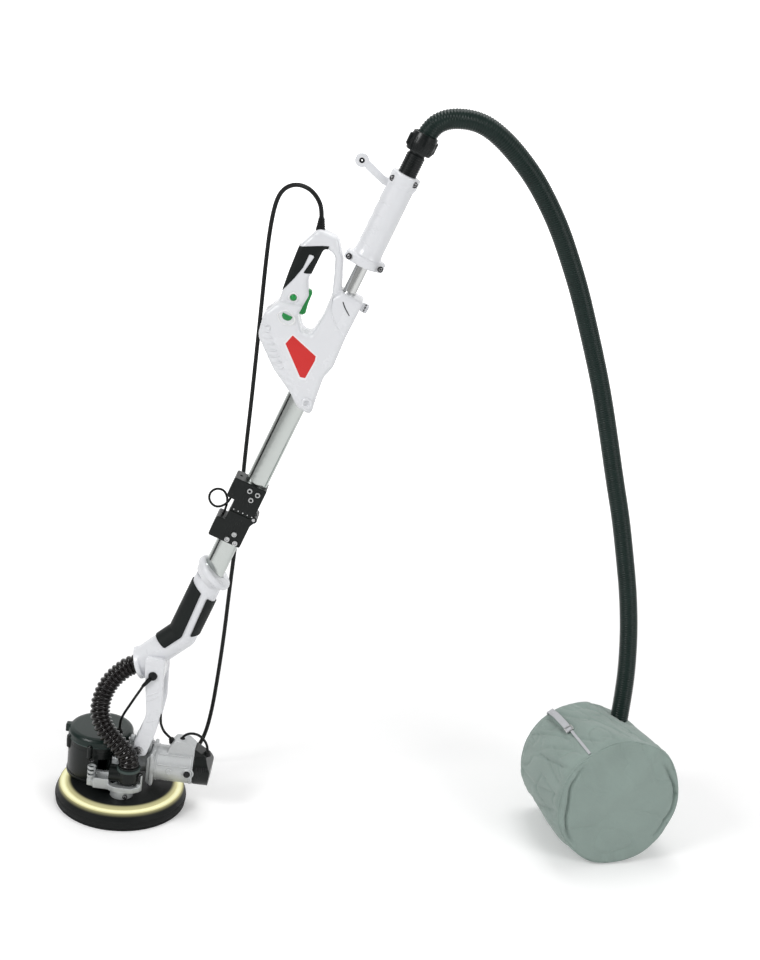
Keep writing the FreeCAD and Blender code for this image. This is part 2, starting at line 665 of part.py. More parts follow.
leg_bores = Part.makeCylinder(s.swivel_pin, 2 * leg_out, V(s.swivel_x, -leg_out, s.swivel_z), Y_AXIS)
bridge = slab([(36, 270, 4), (68, 270, 4), (70, 322, 6), (33, 322, 6)], -leg_in, leg_in)
fork = legs[0].fuse([legs[1], bridge]).cut([arm(s.seat_gap), leg_bores, collar, lug])
node(feature("fork", fork.removeSplitter()), "fork")

skin = arm(s.grip_thick).cut(arm(s.glue_gap))
left_patch = slab([(-45, 505, 0), (-3, 487, 3), (0, 390, 12), (-20, 354, 4), (-45, 362, 0)], -60, 60)
right_patch = slab([(11, 482, 2), (45, 470, 0), (45, 408, 0), (14, 396, 2)], -60, 60)
for patch in (left_patch, right_patch):
    patch.Placement = POLE
guard_room = guard.copy()
grip = skin.common(left_patch.fuse(right_patch)).cut([guard_room] + legs)
node(feature("lower_grip", grip), "lower_grip")

# ---------------------------------------------------------------- pole tubes and fold joint


seam = s.fold_level
block_right = s.tube_across + s.fold_skin
pivot_x = block_right + 1.0
half_gap = s.moving_gap / 2
knuckle_room = Part.makeCylinder(s.fold_knuckle + half_gap, 2 * s.fold_half,
                                 V(pivot_x, -s.fold_half, seam), Y_AXIS)


def tube(label, low, high):
    """One oval aluminium tube of the pole."""
    outside = oval(s.tube_across, s.tube_deep, low, high)
    inside = oval(s.tube_across - s.tube_wall, s.tube_deep - s.tube_wall, low, high)
    return node(feature(label, outside.cut([inside, knuckle_room]), POLE), label)


tube("lower_tube", s.lower_tube_start, seam - s.tube_end_gap)
tube("main_tube", seam + s.tube_end_gap, s.housing_end)
tube_hole = oval(s.tube_across + s.seat_gap, s.tube_deep + s.seat_gap, seam - 300, seam + 300)
pin_half = s.fold_half - 1.0
middle_half = s.fold_half / 3


def fold_block(side):
    """One clamp block of the fold joint: side is -1 below the seam and 1 above it."""
    face = seam + side * half_gap
    end = seam + side * s.fold_block
    duct_end = seam + side * s.duct_drop
    left = -s.tube_across - s.fold_skin
    body = slab([(left, face, 0), (block_right, face, 0), (block_right, end, 3), (-s.duct_out, end, 3),
                 (-s.duct_out, duct_end, 4), (left, duct_end, 0)], -s.fold_half, s.fold_half)
    if side < 0:
        spans = [(-s.fold_half, -middle_half - half_gap), (middle_half + half_gap, s.fold_half)]
    else:
        spans = [(-middle_half, middle_half)]
    body = body.cut(knuckle_room)
    for low, high in spans:
        body = body.fuse(Part.makeCylinder(s.fold_knuckle, high - low, V(pivot_x, low, seam), Y_AXIS))
        web = slab([(pivot_x - 9, seam + side * 6, 0), (pivot_x, seam + side * 1, 0),
                    (pivot_x + 3, seam + side * 5, 0), (block_right, seam + side * 14, 0),
                    (pivot_x - 9, seam + side * 14, 0)], low, high)
        body = body.fuse(web)
    bore = s.fold_pin if side < 0 else s.fold_pin + s.running_gap
    pin_bore = Part.makeCylinder(bore, 2 * s.fold_half + 2, V(pivot_x, -s.fold_half - 1, seam), Y_AXIS)
    duct = Part.makeCylinder(s.cable_radius + s.seat_gap, s.fold_block, V(-30, 0, duct_end), Z_AXIS * side)
    grooves = [Part.makeBox(1.6, 2, s.fold_block - 14, V(-14 + i * 5, -s.fold_half - 1, min(face, end) + 5))
               for i in range(5)]
    return body.cut([tube_hole, pin_bore, duct] + grooves)


node(feature("fold_lower_block", fold_block(-1).removeSplitter(), POLE), "fold_lower_block")
node(feature("fold_upper_block", fold_block(1).removeSplitter(), POLE), "fold_upper_block")
node(cylinder("fold_hinge_pin", at(pivot_x, -pin_half, seam, Y_AXIS, POLE), "size.fold_pin",
              "2 * size.fold_half - 2"), "fold_hinge_pin")


def screws(places, radius, height):
    """Plain screw heads standing on the near side, each at (x, z) of the pole's frame."""
    solids = []
    for x, z, face in places:
        solids.append(Part.makeCylinder(radius, height, world(x, face, z), -Y_AXIS))
    return solids


block_face = -s.fold_half
lower_screws = screws([(4, 620, block_face), (-5, 606, block_face), (12, 605, block_face)], 4, 2)
upper_screws = screws([(-5, 709, block_face), (11, 708, block_face), (4, 694, block_face)], 4, 2)
pitch_pins = []
for side in (-1, 1):
    start = V(s.swivel_x, side * (pitch_stub + s.moving_gap), s.swivel_z)
    shank = Part.makeCylinder(s.swivel_pin, leg_out - pitch_stub - s.moving_gap, start, Y_AXIS * side)
    cap_face = V(s.swivel_x, side * leg_out, s.swivel_z)
    pitch_pins.append(shank.fuse(Part.makeCylinder(8.5, 2.5, cap_face, Y_AXIS * side)))
node(feature("lower_screws", Part.makeCompound(lower_screws + pitch_pins)), "lower_screws")

# ---------------------------------------------------------------- main housing

body_loop = [(-60, 1062, 14), (-104, 1048, 18), (-119, 1018, 10), (-112, 975, 26), (-62, 932, 30),
             (-16, 906, 16), (6, 888, 14), (33, 888, 8), (27, 930, 20), (24, 960, 30), (31, 984, 12),
             (28, 1040, 60), (29, s.housing_end, 5), (-14, s.housing_end, 4), (-29, 1090, 24),
             (-24, 1060, 20), (-29, 1019, 8), (-46, 1016, 10)]
handle_loop = [(-104, 1040, 8), (-110, 1100, 60), (-113, 1150, 26), (-95, 1192, 12), (-58, 1192, 16),
               (-34, 1160, 20), (-14, 1112, 10), (-26, 1060, 4), (-36, 1010, 4), (-70, 1010, 6)]
window_loop = [(-73, 1168, 10), (-50, 1162, 12), (-38, 1132, 30), (-26, 1098, 40), (-24, 1060, 30),
               (-30, 1021, 10), (-46, 1017, 8), (-64, 1040, 8), (-61, 1078, 10), (-74, 1102, 10)]


def housing_solid(shrink):
    """The housing's solid body, drawn in by a wall for its hollow."""
    parts = []
    for loop, half in ((body_loop, s.housing_half), (handle_loop, s.handle_half)):
        face = Part.Face(outline(loop))
        if shrink:
            face = face.makeOffset2D(-shrink)
        face.translate(V(0, -half + shrink, 0))
        parts.append(face.extrude(V(0, 2 * (half - shrink), 0)))
    window = Part.Face(outline(window_loop))
    if shrink:
        window = window.makeOffset2D(shrink)
    window.translate(V(0, -60, 0))
    return parts[0].fuse(parts[1]).cut(window.extrude(V(0, 120, 0)))


button_at = V(-84, 0, 1065)
dial_at = V(-80, -s.housing_half + 9.5, 1028)
trigger_half = 7.0
housing = housing_solid(0)
hollow = housing_solid(s.housing_wall)
barrel = oval(s.tube_across + s.housing_wall, s.tube_deep + s.housing_wall, 892, s.housing_end)
tube_room = oval(s.tube_across + s.seat_gap, s.tube_deep + s.seat_gap, 880, s.housing_end)
button_room = Part.makeCylinder(s.button_radius + 0.3, 60, button_at, -Y_AXIS)
dial_room = Part.makeCylinder(s.dial_radius + 0.6, s.dial_thick + 1, dial_at - V(0, 0, 0.5))
trigger_room = slab([(-80, 1036, 0), (-50, 1036, 0), (-50, 1090, 0), (-80, 1090, 0)],
                    -trigger_half - s.moving_gap, trigger_half + s.moving_gap)
knob_room = Part.makeCylinder(3.2, 30, V(s.tube_across + 1, 0, 1099), X_AXIS)
relief_at = world(-91, 0, 1186)
relief = Part.makeCone(6.2, 5.0, 24, relief_at)
relief_room = relief.copy()
relief_room.Placement = POLE.inverse()
housing = housing.cut(hollow).fuse(barrel.common(housing_solid(0)))
housing = housing.cut([tube_room, button_room, dial_room, trigger_room, knob_room, relief_room])
near_box = Part.makeBox(300, 100, 400, V(-200, -100, 850))
far_box = Part.makeBox(300, 100, 400, V(-200, 0, 850))
node(feature("housing_near", housing.common(near_box), POLE), "housing_near")
node(feature("housing_far", housing.common(far_box), POLE), "housing_far")

# tube bush that guides the extension in the top of the main tube
bush = oval(s.tube_across - s.tube_wall - s.seat_gap, s.tube_deep - s.tube_wall - s.seat_gap,
            s.housing_end - 70, s.housing_end)
bush = bush.cut(Part.makeCylinder(s.rod_radius + s.running_gap, 80, V(0, 0, s.housing_end - 75)))
node(feature("tube_bush", bush, POLE), "tube_bush")

trigger = slab([(-74, 1040, 2), (-56, 1040, 2), (-53, 1045, 3), (-56, 1062, 20), (-57, 1082, 3),
                (-60, 1087, 2), (-74, 1087, 2)], -trigger_half, trigger_half)
node(feature("trigger", trigger, POLE), "trigger")
node(cylinder("lock_button", POLE.multiply(at(button_at.x, -s.handle_half + 6, button_at.z, -Y_AXIS)),
              "size.button_radius", "9"), "lock_button")
dial = Part.makeCylinder(s.dial_radius, s.dial_thick, dial_at)
node(feature("speed_dial", dial, POLE), "speed_dial")
switch_deep = s.handle_half - s.housing_wall
switch = Part.makeBox(18, switch_deep + 9, 44, V(-100, -9, 1046))
node(feature("switch_module", switch, POLE), "switch_module")
knob = Part.makeCylinder(3, 8, V(s.tube_across + 1, 0, 1099), X_AXIS).fuse(
    Part.makeCylinder(s.knob_radius, s.knob_long, V(s.tube_across + 9, 0, 1099), X_AXIS))
node(feature("clamp_knob", knob, POLE), "clamp_knob")

near_face = -s.housing_half
grip_face = -s.handle_half
housing_screws = screws([(-100, 1000, near_face), (14, 905, near_face), (16, 1096, near_face),
                         (-96, 1176, grip_face), (-45, 1172, grip_face)], 3, 1.2)
node(feature("handle_screws", Part.makeCompound(housing_screws + upper_screws)), "handle_screws")

# ---------------------------------------------------------------- extension and rear grip

rod_end = s.grip_end + s.grip_cap + 8
rod_place = at(0, 0, s.rod_start, frame=POLE)
rod_outside = cylinder("rod_outside", rod_place, "size.rod_radius", f"{rod_end} - size.rod_start")
rod_inside = cylinder("rod_inside", rod_place, "size.rod_radius - size.rod_wall",
                      f"{rod_end} - size.rod_start")
node(cut("extension_tube", rod_outside, rod_inside), "extension_tube")

g0, g1, g2, g3 = s.grip_start, s.grip_start + s.grip_flange, s.grip_end, s.grip_end + s.grip_cap
gr, fr, cr = s.grip_radius, s.grip_flange_radius, s.grip_cap_radius
grip_shape = turned([(0, g0), (fr - 3, g0), (fr, g0 + 3), (fr, g0 + 13), (fr - 3, g0 + 16), (gr, g1 + 3),
                     (gr, g2 - 6), (cr, g2), (cr, g3 - 2), (cr - 2, g3), (0, g3)])
grip_steps = [Part.makeCylinder(gr + 3.2, 20, V(-5, 0, z)).common(
    Part.makeBox(60, 60, 20, V(-60, -30, z))) for z in (g1 + 14, g1 + 47, g1 + 80)]
rod_bore = Part.makeCylinder(s.rod_radius + s.seat_gap, 300, V(0, 0, g0 - 20))
grip_room = turned([(s.rod_radius + s.grip_wall, g1 + 6), (gr - s.grip_wall, g1 + 6),
                    (gr - s.grip_wall, g2 - 8), (s.rod_radius + s.grip_wall, g2 - 8)])
grip_whole = grip_shape.fuse(grip_steps).cut([rod_bore, grip_room])
near_grip_box = Part.makeBox(200, 100, 300, V(-100, -100, 1100))
far_grip_box = Part.makeBox(200, 100, 300, V(-100, 0, 1100))
hook_half = s.hook_thick / 2
eye_at = V(-79, 0, 1327)
hook_loop = [(-18, 1306, 2), (-32, 1306, 3), (-70, 1318, 4), (-70, 1333, 4), (-32, 1320, 3), (-18, 1320, 2)]
hook_room = slab(hook_loop, -hook_half, hook_half)
eye = Part.makeCylinder(s.eye_radius, s.hook_thick, eye_at - V(0, hook_half, 0), Y_AXIS)
hook = hook_room.fuse(eye).cut(Part.makeCylinder(s.eye_hole, 20, eye_at - V(0, 10, 0), Y_AXIS))
grip_whole = grip_whole.cut(hook_room)
node(feature("rear_grip_near", grip_whole.common(near_grip_box), POLE), "rear_grip_near")
node(feature("rear_grip_far", grip_whole.common(far_grip_box), POLE), "rear_grip_far")
node(feature("hook_arm", hook, POLE), "hook_arm")
rear_screws = []
for x, z, reach in ((-26, 1174, 10), (24, 1174, 14), (18, 1331, 12)):
    rear_screws.append(Part.makeCylinder(3.2, 2, world(x, -math.sqrt(fr ** 2 - x ** 2) if z < 1300 else
                                                       -math.sqrt(cr ** 2 - x ** 2), z), -Y_AXIS))
node(feature("rear_screws", Part.makeCompound(rear_screws)), "rear_screws")

sp0 = g3
sp1 = g3 + s.spigot_long
spr = s.spigot_radius
spigot_profile = [(s.spigot_bore, sp0), (spr, sp0), (spr, sp1 - 20), (spr - 2, sp1 - 18), (spr - 2, sp1 + 6),
                  (s.spigot_bore, sp1 + 6)]
node(feature("hose_spigot", turned(spigot_profile).cut(
    Part.makeCylinder(s.rod_radius + s.seat_gap, 30, V(0, 0, sp0 - 20))), POLE), "hose_spigot")
nut_end = sp1 + s.nut_long
nut = turned([(spr - 2 + s.running_gap, sp1), (s.nut_radius, sp1), (s.nut_radius + 1.5, sp1 + 14),
              (s.nut_radius, nut_end), (s.hose_radius + 1.5, nut_end),
              (s.hose_radius + 1.5, sp1 + 9), (spr - 2 + s.running_gap, sp1 + 9)])
for angle in (20, 200):
    wing = Part.makeBox(5, 6, 24, V(s.nut_radius - 1, -3, sp1 + 4))
    wing.rotate(V(0, 0, 0), Z_AXIS, angle)
    nut = nut.fuse(wing)
node(feature("hose_nut", nut.removeSplitter(), POLE), "hose_nut")

# ---------------------------------------------------------------- vacuum hose and bag

hose_start = world(0, 0, sp1 + 9.5)
hose_foot = V(958.5, 137.2, 214.2)
hose_foot_way = V(1, 6, 52).normalize()
hose_points = [tuple(hose_start), tuple(world(0, 0, sp1 + 43)), (464, 2, 1363), (502, 4, 1367),
               (533, 8, 1360), (564, 14, 1341), (596, 28, 1313), (629, 44, 1278), (660, 61, 1236),
               (689, 80, 1190), (716, 104, 1138), (744, 128, 1080), (770, 147, 1018), (797, 160, 950),
               (822, 169, 883), (850, 176, 796), (876, 180, 710), (900, 181, 636), (920, 179, 560),
               (938, 174, 488), (951, 166, 416), (958, 156, 348), (960, 146, 290), tuple(hose_foot)]
node(feature("vacuum_hose", rope("vacuum_hose", hose_points, s.hose_radius)), "vacuum_hose")

bag_slope = (s.bag_radius - s.bag_rear_radius) / s.bag_long
bag_tilt = math.atan(bag_slope)
bag_face = V(s.bag_x, s.bag_y, s.bag_radius * math.cos(bag_tilt))
bag_axis = Rotation(Z_AXIS, s.bag_turn).multiply(Rotation(Y_AXIS, 90 + math.degrees(bag_tilt)))
rim_side = s.bag_radius - s.bag_rim * bag_slope
rear_side = s.bag_rear_radius + s.bag_round * bag_slope
rim_cut = 0.3 * s.bag_rim
round_cut = 0.3 * s.bag_round
bag = turned([(0, 0), (s.bag_radius - s.bag_rim, 0), (s.bag_radius - rim_cut, rim_cut), (rim_side, s.bag_rim),
              (rear_side, s.bag_long - s.bag_round),
              (s.bag_rear_radius - round_cut, s.bag_long - round_cut),
              (s.bag_rear_radius - s.bag_round, s.bag_long), (0, s.bag_long)])
bag.Placement = Placement(bag_face, bag_axis)
hose_pocket = Part.makeCylinder(s.hose_radius + 0.3, 60, hose_foot - hose_foot_way * 0.5, hose_foot_way)
node(feature("dust_bag", bag.cut(hose_pocket)), "dust_bag")

# ---------------------------------------------------------------- head hose and cables


def split_route(points, run):
    """Cuts a route in the middle of one of its runs, so that the two ends meet face to face."""
    before, after = V(*points[run]), V(*points[run + 1])
    middle = tuple((before + after) * 0.5)
    return points[:run + 1] + [middle], [middle] + points[run + 1:]


hose_route = [tuple(inlet), tuple(inlet + inlet_axis * 16), (-16, -4, 272), (-31, -10, 256),
              (-41, -17, 237), (-46, -25, 217), (-46, -32, 198), (-40, -39, 180), (-27, -46, 163),
              (-10, -52, 149), (7, -56, 136), (ex, ey, s.elbow_top + 15), (ex, ey, s.elbow_top)]
upper_hose, lower_hose = split_route(hose_route, 4)
node(feature("head_hose_upper", rope("head_hose_upper", upper_hose, s.head_hose_radius)), "head_hose_upper")
node(feature("head_hose_lower", rope("head_hose_lower", lower_hose, s.head_hose_radius)), "head_hose_lower")

gland_at = V(50, -leg_out, 287)
gland = Part.makeCylinder(7.5, 8, gland_at, -Y_AXIS)
relief_start = gland_at + V(-3, -4.5, -4)
relief_way = V(-0.6, 0, -0.8)
gland = gland.fuse(Part.makeCone(4.2, 3.2, 24, relief_start, relief_way))
node(feature("cable_gland", gland.removeSplitter()), "cable_gland")
relief_end = relief_start + relief_way * 24
lid_gland = V(s.pot_x + 39, s.pot_y - 23, s.pot_top + s.lid_thick + 8)
feed_route = [tuple(relief_end), (22, -38, 243), (8, -29, 214), (-4, -17, 188), (-11, -3, 164),
              tuple(lid_gland)]
feed_upper, feed_lower = split_route(feed_route, 1)
motor_route = [(62, leg_in, 176), (63, 19, 167), (67, 12, 158), (76, 5, 149), (93, 0, 140)]
motor_upper, motor_lower = split_route(motor_route, 1)
loop_cable = [(110, 0, 144), (114, 0, 152), (127, 0, 158), (142, 0, 156), (154, 0, 146), (161, 0, 132),
              (162, 0, 119)]
node(feature("cables_upper", Part.makeCompound([
    rope("feed_upper", feed_upper, s.cable_radius),
    rope("motor_upper", motor_upper, s.cable_radius)])), "cables_upper")
node(feature("cables_lower", Part.makeCompound([
    rope("feed_lower", feed_lower, s.cable_radius), rope("motor_lower", motor_lower, s.cable_radius),
    rope("motor_loop", loop_cable, s.cable_radius)])), "cables_lower")

fold_points = [(-30, 0, seam + s.duct_drop), (-30, -2, seam + 10), (-35, -4, seam - 4), (-48, -5, seam - 14),
               (-63, -3, seam - 9), (-69, 0, seam + 4), (-62, 3, seam + 17), (-47, 5, seam + 20),
               (-35, 5, seam + 9), (-30, 3, seam - 7), (-30, 0, seam - s.duct_drop)]
node(feature("fold_cable", rope("fold_cable", fold_points, 2.2), POLE), "fold_cable")

# ---------------------------------------------------------------- mains cord, coil and plug

cord_start = relief_at + V(0, 0, 24)
relief = relief.cut(Part.makeCylinder(s.mains_radius + s.seat_gap, 12, relief_at + V(0, 0, 18)))
node(feature("cord_relief", relief), "cord_relief")
cx, cz = cord_start.x, cord_start.z
cord_points = [(cx, 0, cz - 6), (cx - 1, 0, cz + 14), (cx - 10, 1, cz + 32), (cx - 26, 5, cz + 46),
               (cx - 48, 13, cz + 50), (cx - 70, 26, cz + 40), (cx - 84, 42, cz + 16), (182, 60, 1140),
               (178, 80, 1070), (176, 96, 990), (174, 108, 900), (172, 118, 800), (169, 126, 700),
               (168, 132, 600), (165, 138, 500), (161, 144, 400), (158, 150, 300), (153, 153, 210),
               (147, 154, 130), (137, 156, 70), (118, 160, 28), (90, 166, 8), (58, 178, 4.2),
               (24, 200, 4.2), (-8, 226, 4.2), (-38, 250, 4.2)]
coil_at = V(-72, 205, 0)
tail = [(-66, 260, 20.3), (-88, 258, 24), (-104, 245, 32), (-111, 228, 39), (-112, 212, 42)]
node(feature("mains_cord", Part.makeCompound([
    rope("mains_cord", cord_points, s.mains_radius),
    rope("mains_tail", tail, s.mains_radius)])), "mains_cord")
coil_outside = cylinder("coil_outside", Placement(coil_at, Rotation()), "size.coil_radius", "size.coil_tall")
coil_inside = cylinder("coil_inside", Placement(coil_at, Rotation()), "size.coil_radius - size.coil_wide",
                       "size.coil_tall")
node(cut("cord_coil", coil_outside, coil_inside), "cord_coil")

plug_way = V(0, -1, 0)
plug_at = V(*tail[-1])
plug = Part.makeCone(5, 9, 14, plug_at, plug_way).fuse(
    Part.makeCylinder(17, 18, plug_at + plug_way * 14, plug_way))
pins = [Part.makeCylinder(2.4, 19, plug_at + plug_way * 32 + side, plug_way)
        for side in (plug_way.cross(Z_AXIS).normalize() * 9.5, plug_way.cross(Z_AXIS).normalize() * -9.5)]
node(feature("plug", plug.fuse(pins).removeSplitter()), "plug")

# ---------------------------------------------------------------- check and export

doc.recompute()
problems = []
for item in doc.Objects:
    if {"Invalid", "Error"} & set(item.State):
        problems.append(f"{item.Label}: {item.State}")
for item in nodes:
    if item.Shape.isNull() or not item.Shape.isValid() or not item.Shape.Solids:
        problems.append(f"{item.Label}: shape is not a valid solid")
if problems:
    sys.exit("\n".join(problems))

os.makedirs("parts", exist_ok=True)
for item in nodes:
    item.Shape.exportStep(f"parts/{item.Label}.step")
print(len(nodes), "sub-parts written")
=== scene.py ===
import math
import bmesh
import bpy
import numpy as np
from mathutils import Matrix, Vector, noise


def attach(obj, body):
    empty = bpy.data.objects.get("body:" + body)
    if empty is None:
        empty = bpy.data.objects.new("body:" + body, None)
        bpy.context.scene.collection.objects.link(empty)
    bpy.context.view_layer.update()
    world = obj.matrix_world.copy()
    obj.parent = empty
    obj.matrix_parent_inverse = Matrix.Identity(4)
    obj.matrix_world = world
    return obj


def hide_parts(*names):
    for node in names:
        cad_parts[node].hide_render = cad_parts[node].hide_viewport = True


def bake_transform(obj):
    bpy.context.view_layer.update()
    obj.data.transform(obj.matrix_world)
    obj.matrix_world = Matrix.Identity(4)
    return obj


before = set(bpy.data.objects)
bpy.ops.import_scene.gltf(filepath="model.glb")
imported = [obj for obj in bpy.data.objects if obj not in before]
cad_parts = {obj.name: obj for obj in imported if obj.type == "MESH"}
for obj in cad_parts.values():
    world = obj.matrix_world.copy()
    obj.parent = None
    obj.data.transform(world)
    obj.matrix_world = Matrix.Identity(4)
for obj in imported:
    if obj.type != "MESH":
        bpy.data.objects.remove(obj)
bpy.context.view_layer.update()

# ------------------------------------------------------------------ floor, light and camera
# A pale studio: a painted floor that sweeps up into its backdrop, three soft boxes and an
# even sky. The camera stands where a person would, looking down at the tool from the front.


class Wire:
    """One socket of a finish. Sums and products written with it add the finish's Math nodes."""

    def __init__(self, finish, socket):
        self.finish = finish
        self.socket = socket

    def math(self, operation, first, second=0.0):
        inputs = {0: first, 1: second}
        return self.finish.add("ShaderNodeMath", {"operation": operation}, inputs)

    def __add__(self, other):
        return self.math("ADD", self, other)

    def __sub__(self, other):
        return self.math("SUBTRACT", self, other)

    def __mul__(self, other):
        return self.math("MULTIPLY", self, other)

    __radd__ = __add__
    __rmul__ = __mul__


class Finish:
    """A material with one Principled shader and the nodes that its expressions add."""

    def __init__(self, name):
        self.material = bpy.data.materials.new(name)
        self.material.use_nodes = True
        self.tree = self.material.node_tree
        self.tree.nodes.clear()
        self.shader = self.tree.nodes.new("ShaderNodeBsdfPrincipled")
        self.output = self.tree.nodes.new("ShaderNodeOutputMaterial")
        self.tree.links.new(self.shader.outputs[0], self.output.inputs[0])

    def add(self, kind, settings=None, inputs=None, output=0):
        """Adds a node: first its settings, then the values or links of its sockets."""
        made = self.tree.nodes.new(kind)
        for key, value in (settings or {}).items():
            setattr(made, key, value)
        for key, value in (inputs or {}).items():
            self.feed(made.inputs[key], value)
        return Wire(self, made.outputs[output])

    def feed(self, socket, value):
        if isinstance(value, Wire):
            self.tree.links.new(value.socket, socket)
        elif socket.type == "RGBA" and len(value) == 3:
            socket.default_value = (*value, 1.0)
        else:
            socket.default_value = value

    def give(self, **sockets):
        """Sets or links the shader's own sockets, such as base_color or coat_weight."""
        for key, value in sockets.items():
            self.feed(self.shader.inputs[key.replace("_", " ").title().replace("Ior", "IOR")], value)
        return self

    def place(self):
        return self.add("ShaderNodeTexCoord", output="Object")

    def noise(self, size, detail=2.0, rough=0.5, place=None):
        """Cloudy values from 0 to 1, with features about size metres across."""
        inputs = {"Vector": place or self.place(), "Scale": 1 / size, "Detail": detail, "Roughness": rough}
        return self.add("ShaderNodeTexNoise", {}, inputs)

    def mix(self, share, first, second):
        """A colour between two others."""
        return self.add("ShaderNodeMix", {"data_type": "RGBA"}, {0: share, 6: first, 7: second}, 2)

    def bump(self, height, depth, strength=1.0):
        """Raises the surface by a height from 0 to 1, times a depth in metres."""
        normal = self.add("ShaderNodeBump", {}, {"Height": height, "Distance": depth, "Strength": strength})
        return self.give(normal=normal)


def dye(level, tint=(1.0, 1.0, 1.0)):
    return tuple(level * part for part in tint)


floor_paint = Finish("floor_paint")
camera_ray = floor_paint.add("ShaderNodeLightPath", output="Is Camera Ray")
glossy_ray = floor_paint.add("ShaderNodeLightPath", output="Is Glossy Ray")
passed_ray = floor_paint.add("ShaderNodeLightPath", output="Is Transmission Ray")
scuff = floor_paint.noise(0.35, 3.0)
depth_here = floor_paint.add("ShaderNodeSeparateXYZ", {}, {0: floor_paint.place()}, 1)
backdrop = floor_paint.add("ShaderNodeMapRange", {"interpolation_type": "SMOOTHSTEP"},
    {0: depth_here, 1: 0.5, 2: 3.4, 3: 0.2, 4: 1.0})
seen = (camera_ray + glossy_ray * 0.6 + passed_ray) * backdrop
floor_paint.give(base_color=floor_paint.mix(scuff, dye(0.86), dye(0.88)), roughness=0.9,
    specular_ior_level=0.1, emission_color=floor_paint.mix(seen, dye(0.0), dye(1.0)), emission_strength=1.0)

sweep = bmesh.new()
floor_half, floor_front, floor_back, sweep_radius, sweep_top = 9.0, -6.0, 3.2, 1.6, 6.0
turn_steps = 16
profile = [(floor_front, 0.0)]
for step in range(turn_steps + 1):
    angle = step / turn_steps * math.pi / 2
    profile.append((floor_back + sweep_radius * math.sin(angle), sweep_radius * (1 - math.cos(angle))))
profile.append((floor_back + sweep_radius, sweep_top))
rows = [[sweep.verts.new((x, y, z)) for x in (-floor_half, floor_half)] for y, z in profile]
for low, high in zip(rows, rows[1:]):
    sweep.faces.new((low[0], low[1], high[1], high[0])).smooth = True
floor_mesh = bpy.data.meshes.new("studio_floor")
sweep.to_mesh(floor_mesh)
floor_mesh.materials.append(floor_paint.material)
studio_floor = bpy.data.objects.new("studio_floor", floor_mesh)
bpy.context.scene.collection.objects.link(studio_floor)

for name, spot, aim, width, watts in (("key_box", (-2.4, -2.4, 3.0), (0.2, 0.0, 0.5), 1.6, 78.0),
        ("fill_box", (3.2, -2.2, 2.0), (0.4, 0.0, 0.6), 1.8, 42.0), ("top_box", (0.6, 0.9, 3.6),
        (0.3, 0.1, 0.4), 2.0, 42.0)):
    lamp = bpy.data.lights.new(name, "AREA")
    lamp.shape, lamp.size, lamp.size_y, lamp.energy = "RECTANGLE", width, width * 0.7, watts
    soft_box = bpy.data.objects.new(name, lamp)
    soft_box.location = spot
    soft_box.rotation_euler = (Vector(aim) - Vector(spot)).to_track_quat("-Z", "Y").to_euler()
    bpy.context.scene.collection.objects.link(soft_box)

# Two black cards that only glossy rays see, casting no shadow and lighting nothing: painted dark
# reflections on the glossy pieces.
card_black = Finish("card_black").give(base_color=dye(0.01), roughness=0.9, specular_ior_level=0.0)
for name, spot, wide in (("dark_card", (1.75, -4.6, 1.5), 3.6), ("side_card", (-3.6, -0.9, 1.2), 1.5)):
    bpy.ops.mesh.primitive_plane_add(size=1.0, location=spot)
    card = bpy.context.object
    card.name, card.scale = name, (wide, 4.4, 1.0)
    card.rotation_euler = (Vector((0.2, 0.0, 0.7)) - Vector(spot)).to_track_quat("-Z", "Y").to_euler()
    card.data.materials.append(card_black.material)
    card.visible_camera = card.visible_diffuse = card.visible_shadow = card.visible_transmission = False

sky = bpy.data.worlds.new("sky")
sky.use_nodes = True
sky_light, sky_white = 0.42, 1.0
sky_shader = sky.node_tree.nodes["Background"]
sky_shader.inputs["Color"].default_value = (1.0, 1.0, 1.0, 1.0)
sky_path = sky.node_tree.nodes.new("ShaderNodeLightPath")
sky_level = sky.node_tree.nodes.new("ShaderNodeMapRange")
sky_level.inputs["To Min"].default_value, sky_level.inputs["To Max"].default_value = sky_light, sky_white
sky.node_tree.links.new(sky_path.outputs["Is Camera Ray"], sky_level.inputs["Value"])
sky.node_tree.links.new(sky_level.outputs["Result"], sky_shader.inputs["Strength"])
bpy.context.scene.world = sky

lens_mm, look_down, lean = 58.46, math.radians(18.5), math.radians(7.0)
camera_data = bpy.data.cameras.new("camera")
camera_data.lens, camera_data.sensor_width = lens_mm, 36.0
camera = bpy.data.objects.new("camera", camera_data)
aim = Matrix.Rotation(math.pi / 2 - look_down, 4, "X") @ Matrix.Rotation(lean, 4, "Z")
camera.matrix_world = Matrix.Translation((0.428, -2.677, 1.610)) @ aim
bpy.context.scene.collection.objects.link(camera)
bpy.context.scene.camera = camera
bpy.context.scene.view_settings.view_transform = "Standard"

# ------------------------------------------------------------------ vacuum hose
# A ribbed plastic hose, 36 mm outside, wound over a wire helix. It is pushed into the turning
# nut on top of the pole, arches over and hangs to the dust bag.


def rubber(name, colour, roughness=0.45, grain=0.0006, depth=0.00006):
    """Black rubber or soft plastic: cloudy colour, uneven shine and a fine moulded grain."""
    finish = Finish(name)
    cloud = finish.noise(0.03, 3.0)
    skin = finish.noise(grain, 2.0)
    finish.give(base_color=finish.mix(cloud, dye(0.75, colour), dye(1.3, colour)),
        roughness=cloud * 0.16 + (roughness - 0.08) + skin * 0.06, specular_ior_level=0.22)
    finish.bump(skin, depth)
    return finish.material


